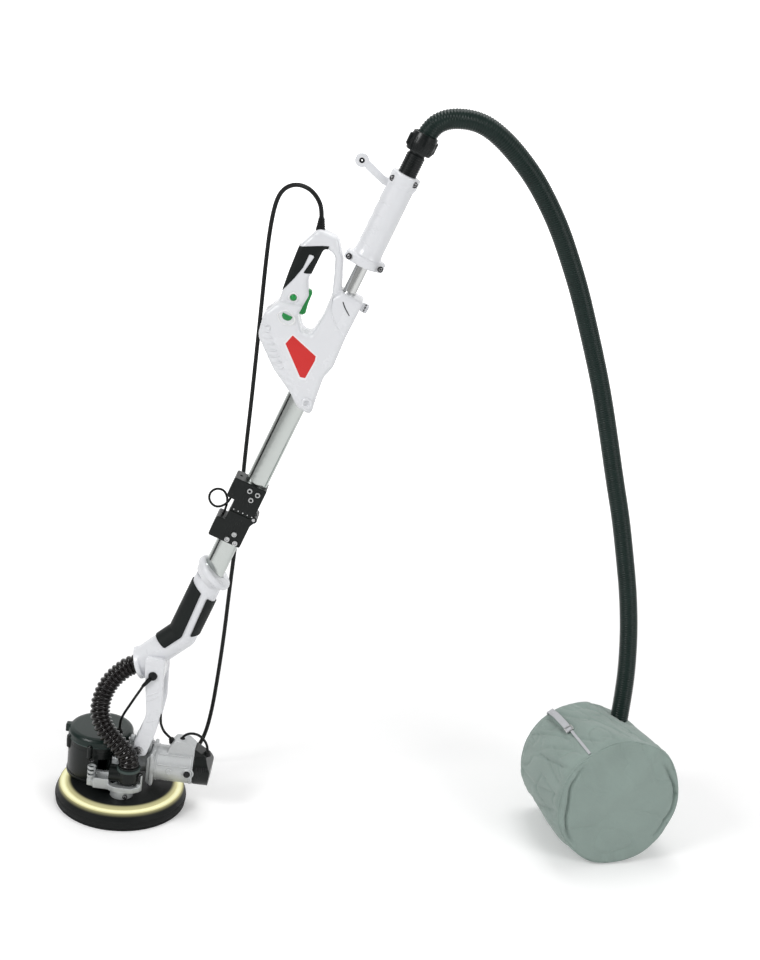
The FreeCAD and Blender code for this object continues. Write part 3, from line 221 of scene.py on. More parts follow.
def routed(points):
    """The smooth line of a cord or hose whose route has these points, as Blender draws it."""
    curve = bpy.data.curves.new("route", "CURVE")
    curve.dimensions = "3D"
    spline = curve.splines.new("NURBS")
    spline.points.add(len(points) - 1)
    for control, point in zip(spline.points, points):
        control.co = (*point, 1.0)
    spline.order_u = 3
    spline.use_endpoint_u = True
    spline.resolution_u = 24
    line = bpy.data.objects.new("route", curve)
    drawn = bpy.data.meshes.new_from_object(line)
    found = np.array([v.co for v in drawn.vertices], float)
    bpy.data.objects.remove(line)
    bpy.data.curves.remove(curve)
    bpy.data.meshes.remove(drawn)
    return found


def along(line, step):
    """Points about a step apart on a line, and how far along it each one is."""
    reach = np.concatenate([[0], np.cumsum(np.linalg.norm(np.diff(line, axis=0), axis=1))])
    marks = np.linspace(0, reach[-1], max(3, round(reach[-1] / step) + 1))
    return np.stack([np.interp(marks, reach, line[:, k]) for k in range(3)], axis=1), marks


def fresh(name, verts, faces, material, smooth=True):
    """A new mesh object of one material, linked to the scene."""
    mesh = bpy.data.meshes.new(name)
    mesh.from_pydata([tuple(v) for v in verts], [], faces)
    mesh.materials.append(material)
    mesh.polygons.foreach_set("use_smooth", [smooth] * len(mesh.polygons))
    mesh.update()
    made = bpy.data.objects.new(name, mesh)
    bpy.context.scene.collection.objects.link(made)
    return made


def hose(name, line, marks, radius_at, around, material):
    """A closed tube whose rings follow a line, each with the radius that its place asks for."""
    run = np.gradient(line, axis=0)
    run /= np.linalg.norm(run, axis=1)[:, None]
    side = np.cross(run[0], (0.0, 1.0, 0.0) if abs(run[0][1]) < 0.9 else (1.0, 0.0, 0.0))
    turn = np.linspace(0, 2 * math.pi, around, endpoint=False)
    verts, faces = [], []
    for point, way, mark in zip(line, run, marks):
        side = side - way * side.dot(way)
        side /= np.linalg.norm(side)
        over = np.cross(way, side)
        radius = np.array([radius_at(mark, angle) for angle in turn])[:, None]
        verts += list(point + radius * (np.cos(turn)[:, None] * side + np.sin(turn)[:, None] * over))
    for ring in range(len(line) - 1):
        for i in range(around):
            j = (i + 1) % around
            a, b = ring * around, (ring + 1) * around
            faces.append((a + i, a + j, b + j, b + i))
    faces.append(tuple(reversed(range(around))))
    faces.append(tuple(range(len(verts) - around, len(verts))))
    return fresh(name, verts, faces, material)


hose_route = [(0.427, 0.0, 1.3113), (0.4381, 0.0, 1.3429), (0.464, 0.002, 1.363), (0.502, 0.004, 1.367),
    (0.533, 0.008, 1.36), (0.564, 0.014, 1.341), (0.596, 0.028, 1.313), (0.629, 0.044, 1.278),
    (0.66, 0.061, 1.236), (0.689, 0.08, 1.19), (0.716, 0.104, 1.138), (0.744, 0.128, 1.08),
    (0.77, 0.147, 1.018), (0.797, 0.16, 0.95), (0.822, 0.169, 0.883), (0.85, 0.176, 0.796),
    (0.876, 0.18, 0.71), (0.9, 0.181, 0.636), (0.92, 0.179, 0.56), (0.938, 0.174, 0.488),
    (0.951, 0.166, 0.416), (0.958, 0.156, 0.348), (0.96, 0.146, 0.29), (0.9585, 0.1372, 0.2142)]
hose_green = (0.009, 0.02, 0.017)
rib_pitch, rib_depth, hose_radius, rings_to_a_rib = 0.0046, 0.0016, 0.018, 4
hose_line, hose_marks = along(routed(hose_route), rib_pitch / rings_to_a_rib)


def hose_ribs(mark, angle):
    wave = 0.5 - 0.5 * math.cos(2 * math.pi * mark / rib_pitch)
    return hose_radius - rib_depth * wave


vacuum_hose = hose("vacuum_hose_ribbed", hose_line, hose_marks, hose_ribs, 28,
    rubber("hose_plastic", hose_green, 0.26))
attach(vacuum_hose, "extension")
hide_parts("vacuum_hose")

# ------------------------------------------------------------------ mains cord, coil and plug
# A rubber mains lead, 8 mm thick. It leaves the top of the handle through a tapered relief,
# bows over and hangs behind the pole to the floor, where its spare length lies in a neat coil
# with the plug on top.

cord_route = [(0.2738, 0.0, 1.1673), (0.2728, 0.0, 1.1873), (0.2638, 0.001, 1.2053),
    (0.2478, 0.005, 1.2193), (0.2258, 0.013, 1.2233), (0.2038, 0.026, 1.2133), (0.1898, 0.042, 1.1893),
    (0.182, 0.06, 1.14), (0.178, 0.08, 1.07), (0.176, 0.096, 0.99), (0.174, 0.108, 0.9),
    (0.172, 0.118, 0.8), (0.169, 0.126, 0.7), (0.168, 0.132, 0.6), (0.165, 0.138, 0.5), (0.161, 0.144, 0.4),
    (0.158, 0.15, 0.3), (0.153, 0.153, 0.21), (0.147, 0.154, 0.13), (0.137, 0.156, 0.07),
    (0.118, 0.16, 0.028), (0.09, 0.166, 0.008), (0.058, 0.178, 0.0042), (0.024, 0.2, 0.0042),
    (-0.008, 0.226, 0.0042), (-0.038, 0.25, 0.0042)]
coil_centre, cord_radius = Vector((-0.072, 0.205, 0.0)), 0.004
turn_points, layers = 16, ((0.056, 0.048, 0.040), (0.040, 0.048, 0.056), (0.056, 0.048, 0.040))
start_angle = math.atan2(0.8, 0.6)
turn_radii = [radius for layer in layers for radius in layer]
coil_route = []
for turn, radius in enumerate(turn_radii):
    after = turn_radii[min(turn + 1, len(turn_radii) - 1)]
    climb = (min(turn + 1, len(turn_radii) - 1)) // 3 - turn // 3
    for step in range(turn_points):
        angle = start_angle + 2 * math.pi * (turn + step / turn_points)
        share = max(0.0, step / turn_points * 4 - 3)
        bow = 0.0006 * math.sin(2.3 * angle) * (turn % 3)
        reach = radius + (after - radius) * share + bow
        level = 0.0042 + 0.0081 * (turn // 3 + climb * share)
        coil_route.append((coil_centre.x + reach * math.cos(angle), coil_centre.y + reach * math.sin(angle),
            level))
plug_route = [(-0.05, 0.256, 0.0204), (-0.066, 0.26, 0.0208), (-0.088, 0.258, 0.0245),
    (-0.104, 0.245, 0.032), (-0.111, 0.228, 0.039), (-0.112, 0.212, 0.042)]
cord_rubber = rubber("cord_rubber", (0.008, 0.009, 0.009), 0.4)
cord_line, cord_marks = along(routed(cord_route + coil_route + plug_route), 0.0035)
mains_lead = hose("mains_lead", cord_line, cord_marks, lambda mark, angle: cord_radius, 14, cord_rubber)


def turned(profile, around=48):
    """The points and faces of a profile of (radius, height) pairs turned about Z."""
    verts, faces, rings = [], [], []
    for radius, height in profile:
        if radius < 1e-6:
            rings.append([len(verts)])
            verts.append((0.0, 0.0, height))
            continue
        rings.append(list(range(len(verts), len(verts) + around)))
        for i in range(around):
            angle = 2 * math.pi * i / around
            verts.append((radius * math.cos(angle), radius * math.sin(angle), height))
    for low, high in zip(rings, rings[1:]):
        for i in range(around):
            j = (i + 1) % around
            if len(low) == 1:
                faces.append((low[0], high[j], high[i]))
            elif len(high) == 1:
                faces.append((low[i], low[j], high[0]))
            else:
                faces.append((low[i], low[j], high[j], high[i]))
    return verts, faces


def sharpen(made, degrees=32):
    """Keeps edges above an angle crisp on a smooth mesh."""
    work = bmesh.new()
    work.from_mesh(made.data)
    limit = math.radians(degrees)
    for edge in work.edges:
        edge.smooth = len(edge.link_faces) == 2 and edge.calc_face_angle(0.0) < limit
    work.to_mesh(made.data)
    work.free()
    return made


def lathe(name, profile, material, place=None, around=48):
    """A turned piece, put in place by a matrix."""
    made = sharpen(fresh(name, *turned(profile, around), material))
    made.data.transform(place or Matrix())
    return made


def facing(spot, way):
    """A place whose Z looks along a way."""
    return Matrix.Translation(spot) @ Vector(way).to_track_quat("Z", "Y").to_matrix().to_4x4()


def joined(name, parts):
    """Several meshes made into one object, each keeping its own material."""
    parts[0].name = parts[0].data.name = name
    if len(parts) == 1:
        return parts[0]
    with bpy.context.temp_override(active_object=parts[0], selected_editable_objects=parts):
        bpy.ops.object.join()
    return parts[0]


plug_spot, plug_way = (-0.112, 0.212, 0.042), (0.0, -1.0, 0.0)
grip_rings = []
for step in range(5):
    level = 0.002 + 0.0026 * step
    radius = 0.0062 + 0.0011 * step
    grip_rings += [(radius, level), (radius + 0.0008, level + 0.0007), (radius + 0.0008, level + 0.0017),
        (radius, level + 0.0024)]
plug_profile = [(0.0, 0.0), (0.0052, 0.0)] + grip_rings + [(0.0145, 0.0155), (0.0163, 0.0168),
    (0.017, 0.019), (0.017, 0.0295), (0.0163, 0.0315), (0.0145, 0.032), (0.0, 0.032)]
mains_plug = lathe("mains_plug", plug_profile, cord_rubber, facing(plug_spot, plug_way))


def metal(name, colour, roughness=0.3, streak=(0.004, 0.004, 0.004), strength=0.1, metallic=1.0,
        dent=0.00004):
    """Bare metal whose shine varies in streaks of the given size along X, Y and Z."""
    finish = Finish(name)
    scale = tuple(1 / size for size in streak)
    lines = finish.add("ShaderNodeVectorMath", {"operation": "MULTIPLY"}, {0: finish.place(), 1: scale})
    streaks = finish.noise(1.0, 3.0, 0.6, lines)
    cloud = finish.noise(0.05, 2.0)
    finish.give(base_color=finish.mix(streaks, dye(0.86, colour), dye(1.06, colour)), metallic=metallic,
        roughness=streaks * strength + cloud * 0.08 + (roughness - 0.05))
    finish.bump(streaks, dent)
    return finish.material


pin_metal = metal("pin_metal", (0.72, 0.7, 0.64), 0.25)
pins = []
for side in (-0.0095, 0.0095):
    spot = Vector(plug_spot) + Vector(plug_way) * 0.032 + Vector((side, 0.0, 0.0))
    pins.append(lathe("pin", [(0.0, 0.0), (0.0024, 0.0), (0.0024, 0.0175), (0.0016, 0.019), (0.0, 0.019)],
        pin_metal, facing(spot, plug_way), 20))
mains_plug = joined("mains_plug", [mains_plug] + pins)

relief_spot = Vector((0.2738, 0.0, 1.1493))
relief_rings = [(0.0, 0.002), (0.0082, 0.002)]
for step in range(5):
    level = 0.0035 + 0.0040 * step
    radius = 0.0082 - 0.0006 * step
    relief_rings += [(radius, level), (radius, level + 0.0026), (radius - 0.0013, level + 0.003),
        (radius - 0.0013, level + 0.0037)]
relief_rings += [(0.0056, 0.0238), (0.0046, 0.0245), (0.0, 0.0245)]
cord_boot = lathe("cord_boot", relief_rings, cord_rubber, Matrix.Translation(relief_spot), 28)
for piece, nodes in ((mains_lead, ("mains_cord", "cord_coil")), (mains_plug, ("plug",)),
        (cord_boot, ("cord_relief",))):
    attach(piece, "handle")
    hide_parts(*nodes)

# ------------------------------------------------------------------ dust bag
# A round bag of grey-green woven cloth, piped round its front disc and its softer back. Air
# holds it full, the hose drops into its top, and a webbing handle with a buckle is sewn on.

bag_face, bag_turn = Vector((0.959, -0.0194, 0.13172)), math.radians(110.1)
bag_front, bag_back, bag_long = 0.1305, 0.1200, 0.2300
front_share, back_share = 0.30, 0.76
bag_fall = math.atan((0.132 - 0.1176) / 0.22)
bag_place = (Matrix.Translation(bag_face) @ Matrix.Rotation(bag_turn, 4,
    "Z") @ Matrix.Rotation(math.pi / 2 + bag_fall, 4, "Y"))


def woven(name, colour, thread=0.0011, depth=0.00012, roughness=0.86):
    """Plain woven cloth: warp and weft threads cross over and under each other."""
    finish = Finish(name)
    place = finish.place()
    turned_place = finish.add("ShaderNodeMapping", {}, {"Vector": place, "Rotation": (0.3, 0.5, 0.35)})
    threads = []
    for direction in ("X", "Y", "Z"):
        threads.append(finish.add("ShaderNodeTexWave", {"bands_direction": direction},
            {"Vector": turned_place, "Scale": 0.314 / thread, "Distortion": 0.6, "Detail": 1.0}, 1))
    weave = threads[0] * threads[1] + threads[2] * 0.5
    cloud = finish.noise(0.06, 4.0)
    slub = finish.noise(0.002, 2.0)
    shade = cloud * 0.5 + weave * 0.25 + slub * 0.25
    finish.give(base_color=finish.mix(shade, dye(0.72, colour), dye(1.22, colour)), roughness=roughness,
        sheen_weight=0.25, sheen_roughness=0.5, specular_ior_level=0.3)
    finish.bump(weave + slub * 0.6, depth)
    return finish.material


bag_green, strap_grey = (0.265, 0.335, 0.305), (0.5, 0.51, 0.53)
bag_cloth = woven("bag_cloth", bag_green)
strap_web = woven("strap_web", strap_grey, 0.0016)


def crease(spot, sharpness=5):
    """A sharp fold line where a smooth noise passes through zero, from 0 to 1."""
    return (1 - min(1.0, 2.4 * abs(noise.noise(Vector(spot))))) ** sharpness


def bag_skin(share, angle):
    """Radius and depth of the bag's cloth. The share goes from 0 at the middle of the front
    disc, past the front piping and along the barrel, to 1 at the middle of the back."""
    pleats = math.sin(angle * 13 + 2.3 * math.sin(3 * angle) + 1.1 * math.sin(5 * angle))
    east, north = math.cos(angle), math.sin(angle)
    if share < front_share:
        out = share / front_share
        slack = noise.noise(Vector((1.9 * east * out, 1.9 * north * out, 0.96)))
        gather = 0.0022 * pleats * out ** 6
        folds = 0.0042 * crease((2.3 * east * out + 0.4, 1.7 * north * out, 7.3)) * min(1.0, 3 * out ** 2)
        hem = 0.90 + 0.03 * math.sin(3 * angle) + 0.015 * math.sin(7 * angle)
        tuck = 0.0095 * math.exp(-((out - hem) / 0.018) ** 2) * max(0.0, math.sin(2 * angle - 1.53)) ** 0.5
        dome = 0.006 * (1 - out ** 2) + slack * 0.010 * (1 - out ** 3)
        return out * (bag_front - 0.003), -dome - gather + folds * 0.6 + tuck
    if share > back_share:
        out = (1 - share) / (1 - back_share)
        gathered = 0.0024 * pleats * out ** 2
        bulge = 0.014 * (1 - out ** 2) ** 0.5
        return out * (bag_back - 0.011), bag_long - 0.012 + bulge * 0.9 - gathered
    along_side = (share - front_share) / (back_share - front_share)
    slack = noise.noise(Vector((1.9 * east, 1.9 * north, 3.2 * share)))
    radius = bag_front + (bag_back - bag_front) * along_side
    belly = 0.0028 * math.sin(math.pi * along_side)
    ease = min(1.0, along_side * 9) * min(1.0, (1 - along_side) * 7)
    twist = angle + 0.5 * along_side
    long_folds = crease((3.4 * math.cos(twist), 3.4 * math.sin(twist), 1.3 * along_side), 4)
    cross_folds = crease((5.5 * east + 3, 5.5 * north, 3.5 * along_side), 7)
    creases = (0.0024 * pleats * (1 - along_side) ** 3 + 0.008 * slack - 0.0042 * long_folds
        - 0.0026 * cross_folds) * ease
    rim_wave = 0.0022 * math.sin(5 * angle + 0.7) * math.sin(2 * angle)
    round_off = 0.004 * (1 - min(1.0, along_side * 12)) ** 2 + 0.012 * (1
        - min(1.0, (1 - along_side) * 8)) ** 2
    return radius + belly + creases + rim_wave * (1 - along_side) - round_off, 0.002 + (bag_long
        - 0.014) * along_side


bag_verts, bag_faces = [], []
around, bands = 300, 170
for band in range(bands + 1):
    for i in range(around):
        angle = 2 * math.pi * i / around
        radius, level = bag_skin(max(0.002, min(0.998, band / bands)), angle)
        spot = bag_place @ Vector((radius * math.cos(angle), radius * math.sin(angle), level))
        bag_verts.append((spot.x, spot.y, max(spot.z, 0.0012 + 0.0006 * math.sin(40 * spot.x))))
for band in range(bands):
    for i in range(around):
        j = (i + 1) % around
        low, high = band * around, (band + 1) * around
        bag_faces.append((low + i, high + i, high + j, low + j))
bag_faces.append(tuple(range(around)))
bag_faces.append(tuple(reversed(range(bands * around, (bands + 1) * around))))
dust_bag = fresh("dust_bag_cloth", bag_verts, bag_faces, bag_cloth)


def strip(name, line, wide, thick, face_way, material):
    """A flat band along a line, its width across the way it faces."""
    line = np.asarray(line, float)
    run = np.gradient(line, axis=0)
    run /= np.linalg.norm(run, axis=1)[:, None]
    verts, faces = [], []
    for spot, way, face in zip(line, run, face_way):
        face = np.asarray(face, float) - way * np.dot(face, way)
        face /= np.linalg.norm(face)
        side = np.cross(way, face)
        for across, lift in ((-1, 0), (-0.94, 1), (0.94, 1), (1, 0), (0.94, -1), (-0.94, -1)):
            verts.append(spot + side * across * wide / 2 + face * lift * thick / 2)
    for ring in range(len(line) - 1):
        for i in range(6):
            j = (i + 1) % 6
            a, b = ring * 6, (ring + 1) * 6
            faces.append((a + i, a + j, b + j, b + i))
    faces += [tuple(reversed(range(6))), tuple(range(len(verts) - 6, len(verts)))]
    return sharpen(fresh(name, verts, faces, material), 40)


def bag_spot(share, angle, lift=0.0):
    """A point on the bag, lifted off its cloth."""
    radius, level = bag_skin(share, angle)
    if share < front_share:
        return bag_place @ Vector((radius * math.cos(angle), radius * math.sin(angle), level - lift))
    return bag_place @ Vector(((radius + lift) * math.cos(angle), (radius + lift) * math.sin(angle), level))


def cord_round(name, share, lift, radius, material, spans=((0.0, 2 * math.pi),)):
    """A piping cord sewn round the bag at one share of its skin."""
    made = []
    for low, high in spans:
        steps = max(24, round(160 * (high - low) / (2 * math.pi)))
        line = np.array([bag_spot(share, low + (high - low) * k / steps, lift) for k in range(steps + 1)])
        line[:, 2] = np.maximum(line[:, 2], radius + 0.0003)
        made.append(hose(name, line, range(len(line)), lambda mark, angle: radius, 8, material))
    return joined(name, made)


bag_parts = [dust_bag]
bag_parts.append(cord_round("front_piping", 0.302, 0.0002, 0.0017, bag_cloth))
bag_parts.append(cord_round("back_piping", 0.752, 0.0006, 0.0015, bag_cloth))
dust_bag = joined("dust_bag_cloth", bag_parts)
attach(dust_bag, "extension")
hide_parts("dust_bag")

strap_angle, strap_steps = 2.55, 40
strap_line, strap_face = [], []
for k in range(strap_steps + 1):
    t = k / strap_steps
    share = 0.745 - 0.235 * t
    arch = 0.013 * math.sin(math.pi * t) ** 0.8
    strap_line.append(bag_spot(share, strap_angle, 0.0022 + arch))
    strap_face.append(bag_spot(share, strap_angle, 1.0) - bag_spot(share, strap_angle, 0.0))
bag_handle = strip("bag_handle", strap_line, 0.0135, 0.0026, strap_face, strap_web)
tail_line = [bag_spot(0.515 - 0.205 * k / 16, strap_angle + 0.02 - 0.05 * k / 16, 0.0016)
    for k in range(17)]
strap_tail = strip("strap_tail", tail_line, 0.0055, 0.0014, [strap_face[-1]] * len(tail_line), strap_web)
buckle_steel = metal("buckle_steel", (0.5, 0.51, 0.5), 0.3)
buckle_spot = bag_spot(0.517, strap_angle, 0.0055)
buckle_run = (Vector(strap_line[-1]) - Vector(strap_line[-4])).normalized()
buckle_up = Vector(strap_face[-1]).normalized()
buckle_side = buckle_run.cross(buckle_up)
loop_corners = [buckle_spot + buckle_side * (0.0085 * a) + buckle_run * (0.0050 * c) + buckle_up * 0.001
    for a, c in ((-1, -1), (-1, 1), (1, 1), (1, -1), (-1, -1))]
frame_line = [loop_corners[i].lerp(loop_corners[i + 1], k / 8) for i in range(4)
    for k in range(8)] + [loop_corners[0]]
frame_line = np.array(frame_line)
buckle = hose("buckle", frame_line, range(len(frame_line)), lambda mark, angle: 0.0011, 10, buckle_steel)
bag_strap = joined("bag_strap", [bag_handle, strap_tail, buckle])
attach(bag_strap, "extension")

# ------------------------------------------------------------------ main housing
# Two glossy white mouldings screwed together round the pole: a thick belly with a D-shaped
# handle above it. A black rubber skin, a blank red plate and the controls are let into it,
# and small plugs close its screw holes.

lean, foot = math.radians(19.32), Vector((-0.0327, 0.0, 0.0))
pole_place = Matrix.Translation(foot) @ Matrix.Rotation(lean, 4, "Y")


def millimetres(*numbers):
    return Vector(numbers) / 1000


def plastic(name, colour, roughness=0.3, grain=0.0007, depth=0.000012, worn=0.04, gloss=0.25):
    """Moulded plastic: an almost even colour, handled shine and a fine spark-eroded grain."""
    finish = Finish(name)
    cloud, skin = finish.noise(0.09, 3.0), finish.noise(grain, 2.0)
    rubbed = finish.noise(0.018, 4.0, 0.6)
    finish.give(base_color=finish.mix(cloud * 0.6 + rubbed * 0.4, dye(1 - worn, colour),
        dye(1 + worn, colour)), roughness=cloud * 0.1 + rubbed * 0.07 + (roughness - 0.08),
        coat_roughness=0.15, coat_weight=gloss, specular_ior_level=0.2 + 1.2 * gloss)
    finish.bump(skin * 0.7 + rubbed * 0.3, depth)
    return finish.material


def outline(corners, steps=7):
    """A closed outline round (x, z, radius) corners in millimetres, in metres."""
    found = []
    for i, (x, z, radius) in enumerate(corners):
        here = Vector((x, z))
        before, after = Vector(corners[i - 1][:2]), Vector(corners[(i + 1) % len(corners)][:2])
        back, on = (before - here), (after - here)
        if radius < 0.1:
            found.append(here / 1000)
            continue
        reach = min(radius / math.tan(back.angle(on) / 2), 0.48 * back.length, 0.48 * on.length)
        start, end = here + back.normalized() * reach, here + on.normalized() * reach
        for step in range(steps + 1):
            t = step / steps
            found.append(((1 - t) ** 2 * start + 2 * t * (1 - t) * here + t ** 2 * end) / 1000)
    return found


def prism(name, corners, low, high, material):
    """A straight-sided block over an outline in X and Z, from one Y to another in metres."""
    loop = outline(corners)
    work = bmesh.new()
    face = work.faces.new([work.verts.new((p.x, low, p.y)) for p in loop])
    lifted = bmesh.ops.extrude_face_region(work, geom=[face])["geom"]
    bmesh.ops.translate(work, vec=(0, high - low, 0), verts=[g for g in lifted
        if isinstance(g, bmesh.types.BMVert)])
    bmesh.ops.recalc_face_normals(work, faces=work.faces)
    made = fresh(name, [], [], material, False)
    work.to_mesh(made.data)
    work.free()
    return made


def settle(made):
    """Replaces an object's mesh by what its modifiers make of it."""
    bpy.context.view_layer.update()
    drawn = bpy.data.meshes.new_from_object(made.evaluated_get(bpy.context.evaluated_depsgraph_get()))
    made.modifiers.clear()
    made.data = drawn
    return made


def remeshed(made, voxel, rounds=0):
    """Rebuilds a mesh from cubes of one size, then eases its edges."""
    material = made.data.materials[0]
    remesh = made.modifiers.new("remesh", "REMESH")
    remesh.mode, remesh.voxel_size, remesh.use_smooth_shade = "VOXEL", voxel, True
    if rounds:
        ease = made.modifiers.new("ease", "SMOOTH")
        ease.factor, ease.iterations = 0.5, rounds
    settle(made)
    made.data.materials.clear()
    made.data.materials.append(material)
    made.data.polygons.foreach_set("use_smooth", [True] * len(made.data.polygons))
    return made


def cut_by(made, *tools):
    """Takes other objects' shapes out of one, and clears them away."""
    for tool in tools:
        take = made.modifiers.new("take", "BOOLEAN")
        take.operation, take.object, take.solver = "DIFFERENCE", tool, "EXACT"
        settle(made)
        bpy.data.objects.remove(tool)
    return made


def pillowed(made, loops, half, round_over, voxel):
    """Rounds the rims of a block of a given half depth over, all along its outlines."""
    remeshed(made, voxel)
    spots = np.empty(len(made.data.vertices) * 3)
    made.data.vertices.foreach_get("co", spots)
    spots = spots.reshape(-1, 3)
    nearest = np.full(len(spots), 1.0)
    for loop in loops:
        ends = np.array([tuple(p) for p in loop])
        for a, b in zip(ends, np.roll(ends, -1, axis=0)):
            run = b - a
            share = np.clip(((spots[:, ::2] - a) @ run) / max(run @ run, 1e-12), 0, 1)
            nearest = np.minimum(nearest, np.linalg.norm(spots[:, ::2] - a - share[:, None] * run, axis=1))
    inward = np.clip(round_over - nearest, 0, round_over)
    height = half - round_over + np.sqrt(round_over ** 2 - inward ** 2)
    spots[:, 1] = np.sign(spots[:, 1]) * np.minimum(np.abs(spots[:, 1]), height)
    made.data.vertices.foreach_set("co", spots.ravel())
    made.data.update()
    return made


body_loop = [(-60, 1062, 14), (-104, 1048, 18), (-119, 1018, 10), (-112, 975, 26), (-62, 932, 30),
    (-16, 906, 16), (6, 888, 14), (33, 888, 8), (27, 930, 20), (24, 960, 30), (31, 984, 12), (28, 1040, 60),
    (29, 1112, 5), (-14, 1112, 4), (-29, 1090, 24), (-24, 1060, 20), (-29, 1019, 8), (-46, 1016, 10)]
handle_loop = [(-104, 1040, 8), (-110, 1100, 60), (-113, 1150, 26), (-95, 1192, 12), (-58, 1192, 16),
    (-34, 1160, 20), (-14, 1112, 10), (-26, 1060, 4), (-36, 1010, 4), (-70, 1010, 6)]
window_loop = [(-73, 1168, 10), (-50, 1162, 12), (-38, 1132, 30), (-26, 1098, 40), (-24, 1060, 30),
    (-30, 1021, 10), (-46, 1017, 8), (-64, 1040, 8), (-61, 1078, 10), (-74, 1102, 10)]
housing_half, handle_half, housing_voxel = 0.031, 0.019, 0.0013
white_colour = (0.74, 0.75, 0.775)
white_plastic = plastic("white_plastic", white_colour, 0.26)
window_line = outline(window_loop)
blocks = []
for name, loop, half, round_over in (("belly", body_loop, housing_half, 0.0085),
        ("handle", handle_loop, handle_half, 0.0075)):
    block = prism(name, loop, -half, half, white_plastic)
    cut_by(block, prism("window", window_loop, -0.05, 0.05, white_plastic))
    blocks.append(pillowed(block, [outline(loop), window_line], half, round_over, housing_voxel))
housing = remeshed(joined("housing", blocks), housing_voxel)
crease_start, crease_side, crease_top = Vector((-117, 1022)) / 1000, Vector((-0.693, -0.721)), 1.024
bevel_wide, bevel_deep, bevel_fade = 0.030, 0.0125, 0.012
for vert in housing.data.vertices:
    beyond_crease = (Vector((vert.co.x, vert.co.z)) - crease_start).dot(crease_side)
    if beyond_crease > 0 and vert.co.z < crease_top:
        reach = min(1.0, beyond_crease / bevel_wide)
        top_fade = min(1.0, (crease_top - vert.co.z) / bevel_fade)
        scallop = 0.0007 * math.sin((vert.co.z - 0.9) * 520) * min(1.0, reach * 3)
        vert.co.y *= 1 - (bevel_deep * reach ** 0.8 + scallop) * top_fade / housing_half
housing = remeshed(housing, housing_voxel, 3)


def halved(source, name, side, lip=0.0004):
    """One half of a moulding, cut where X Z is its joint plane, with a fine step at the joint."""
    work = bmesh.new()
    work.from_mesh(source.data)
    everything = work.verts[:] + work.edges[:] + work.faces[:]
    bmesh.ops.bisect_plane(work, geom=everything, plane_co=(0, side * lip, 0), plane_no=(0, side, 0),
        clear_inner=True)
    rim = [edge for edge in work.edges if edge.is_boundary]
    bmesh.ops.triangle_fill(work, use_beauty=True, edges=rim)
    made = fresh(name, [], [], source.data.materials[0])
    work.to_mesh(made.data)
    work.free()
    made.data.polygons.foreach_set("use_smooth", [len(face.vertices) < 6 for face in made.data.polygons])
    return sharpen(made, 60)


def skin_patch(name, source, corners, lift, material, near=True, sink=0.0012):
    """A thin piece that lies on a moulding's face inside an outline, and stands a little proud."""
    loop = outline(corners)
    xs, zs = [p.x for p in loop], [p.y for p in loop]
    work = bmesh.new()
    work.from_mesh(source.data)
    margin = 0.004

    def outside(face):
        spot = face.calc_center_median()
        return (spot.x < min(xs) - margin or spot.x > max(xs) + margin or spot.z < min(zs) - margin
            or spot.z > max(zs) + margin or (near and spot.y > -0.002))

    bmesh.ops.delete(work, geom=[face for face in work.faces if outside(face)], context="FACES")
    for a, b in zip(loop, loop[1:] + loop[:1]):
        if (b - a).length < 1e-6:
            continue
        bmesh.ops.bisect_plane(work, geom=work.verts[:] + work.edges[:] + work.faces[:], dist=1e-6,
            plane_co=(a.x, 0, a.y), plane_no=((b - a).y, 0, -(b - a).x))
    line = [(p.x, p.y) for p in loop]

    def beyond(face):
        spot = face.calc_center_median()
        hits = 0
        for (ax, az), (bx, bz) in zip(line, line[1:] + line[:1]):
            if (az > spot.z) != (bz > spot.z) and spot.x < (bx - ax) * (spot.z - az) / (bz - az) + ax:
                hits += 1
        return hits % 2 == 0

    bmesh.ops.delete(work, geom=[face for face in work.faces if beyond(face)], context="FACES")
    work.normal_update()
    normals = {vert: vert.normal.copy() for vert in work.verts}
    rim = [edge for edge in work.edges if edge.is_boundary]
    skirt = bmesh.ops.extrude_edge_only(work, edges=rim)["geom"]
    fringe = [g for g in skirt if isinstance(g, bmesh.types.BMVert)]
    top = list(normals)
    for vert in fringe:
        nearest = min((edge.other_vert(vert) for edge in vert.link_edges
            if edge.other_vert(vert) in normals), key=lambda other: (other.co - vert.co).length)
        vert.co -= normals[nearest] * sink
    for vert in top:
        vert.co += normals[vert] * lift
    made = fresh(name, [], [], material)
    work.to_mesh(made.data)
    work.free()
    return sharpen(made, 50)


black_rubber = rubber("black_rubber", (0.0075, 0.010, 0.0095), 0.46, 0.0008, 0.00004)
skin_loop = [(-127, 1143, 0), (-110, 1151, 2), (-78, 1168, 2), (-66, 1173, 0), (-66, 1115, 0),
    (-76, 1115, 2), (-87, 1111, 2), (-81, 1147, 3), (-91, 1145, 3), (-91, 1120, 20), (-97, 1096, 40),
    (-107, 1066, 3), (-127, 1060, 0)]
housing_halves = []
for name, side in (("housing_near_half", -1), ("housing_far_half", 1)):
    housing_halves.append(halved(housing, name, side))
bpy.data.objects.remove(housing)
near_half, far_half = housing_halves
grip_skin = joined("handle_skin", [skin_patch("skin", near_half, skin_loop, 0.0007, black_rubber),
    skin_patch("skin_far", far_half, skin_loop, 0.0007, black_rubber, False)])
label_loop = [(-57, 1006.5, 2.5), (-5, 990.5, 2.5), (-3, 982.5, 2), (-5, 946.5, 2.5), (-14, 944.5, 2.5),
    (-62, 987.5, 2.5)]
border_loop = [(-58, 1009.5, 3.5), (-2, 992.5, 3.5), (0, 982.5, 3), (-2, 943, 3.5), (-15.5, 941, 3.5),
    (-66, 987.5, 3.5)]
plate_red = plastic("plate_red", (0.62, 0.014, 0.012), 0.34, 0.0016, 0.000008)
border_white = plastic("border_white", (0.83, 0.83, 0.84), 0.3)
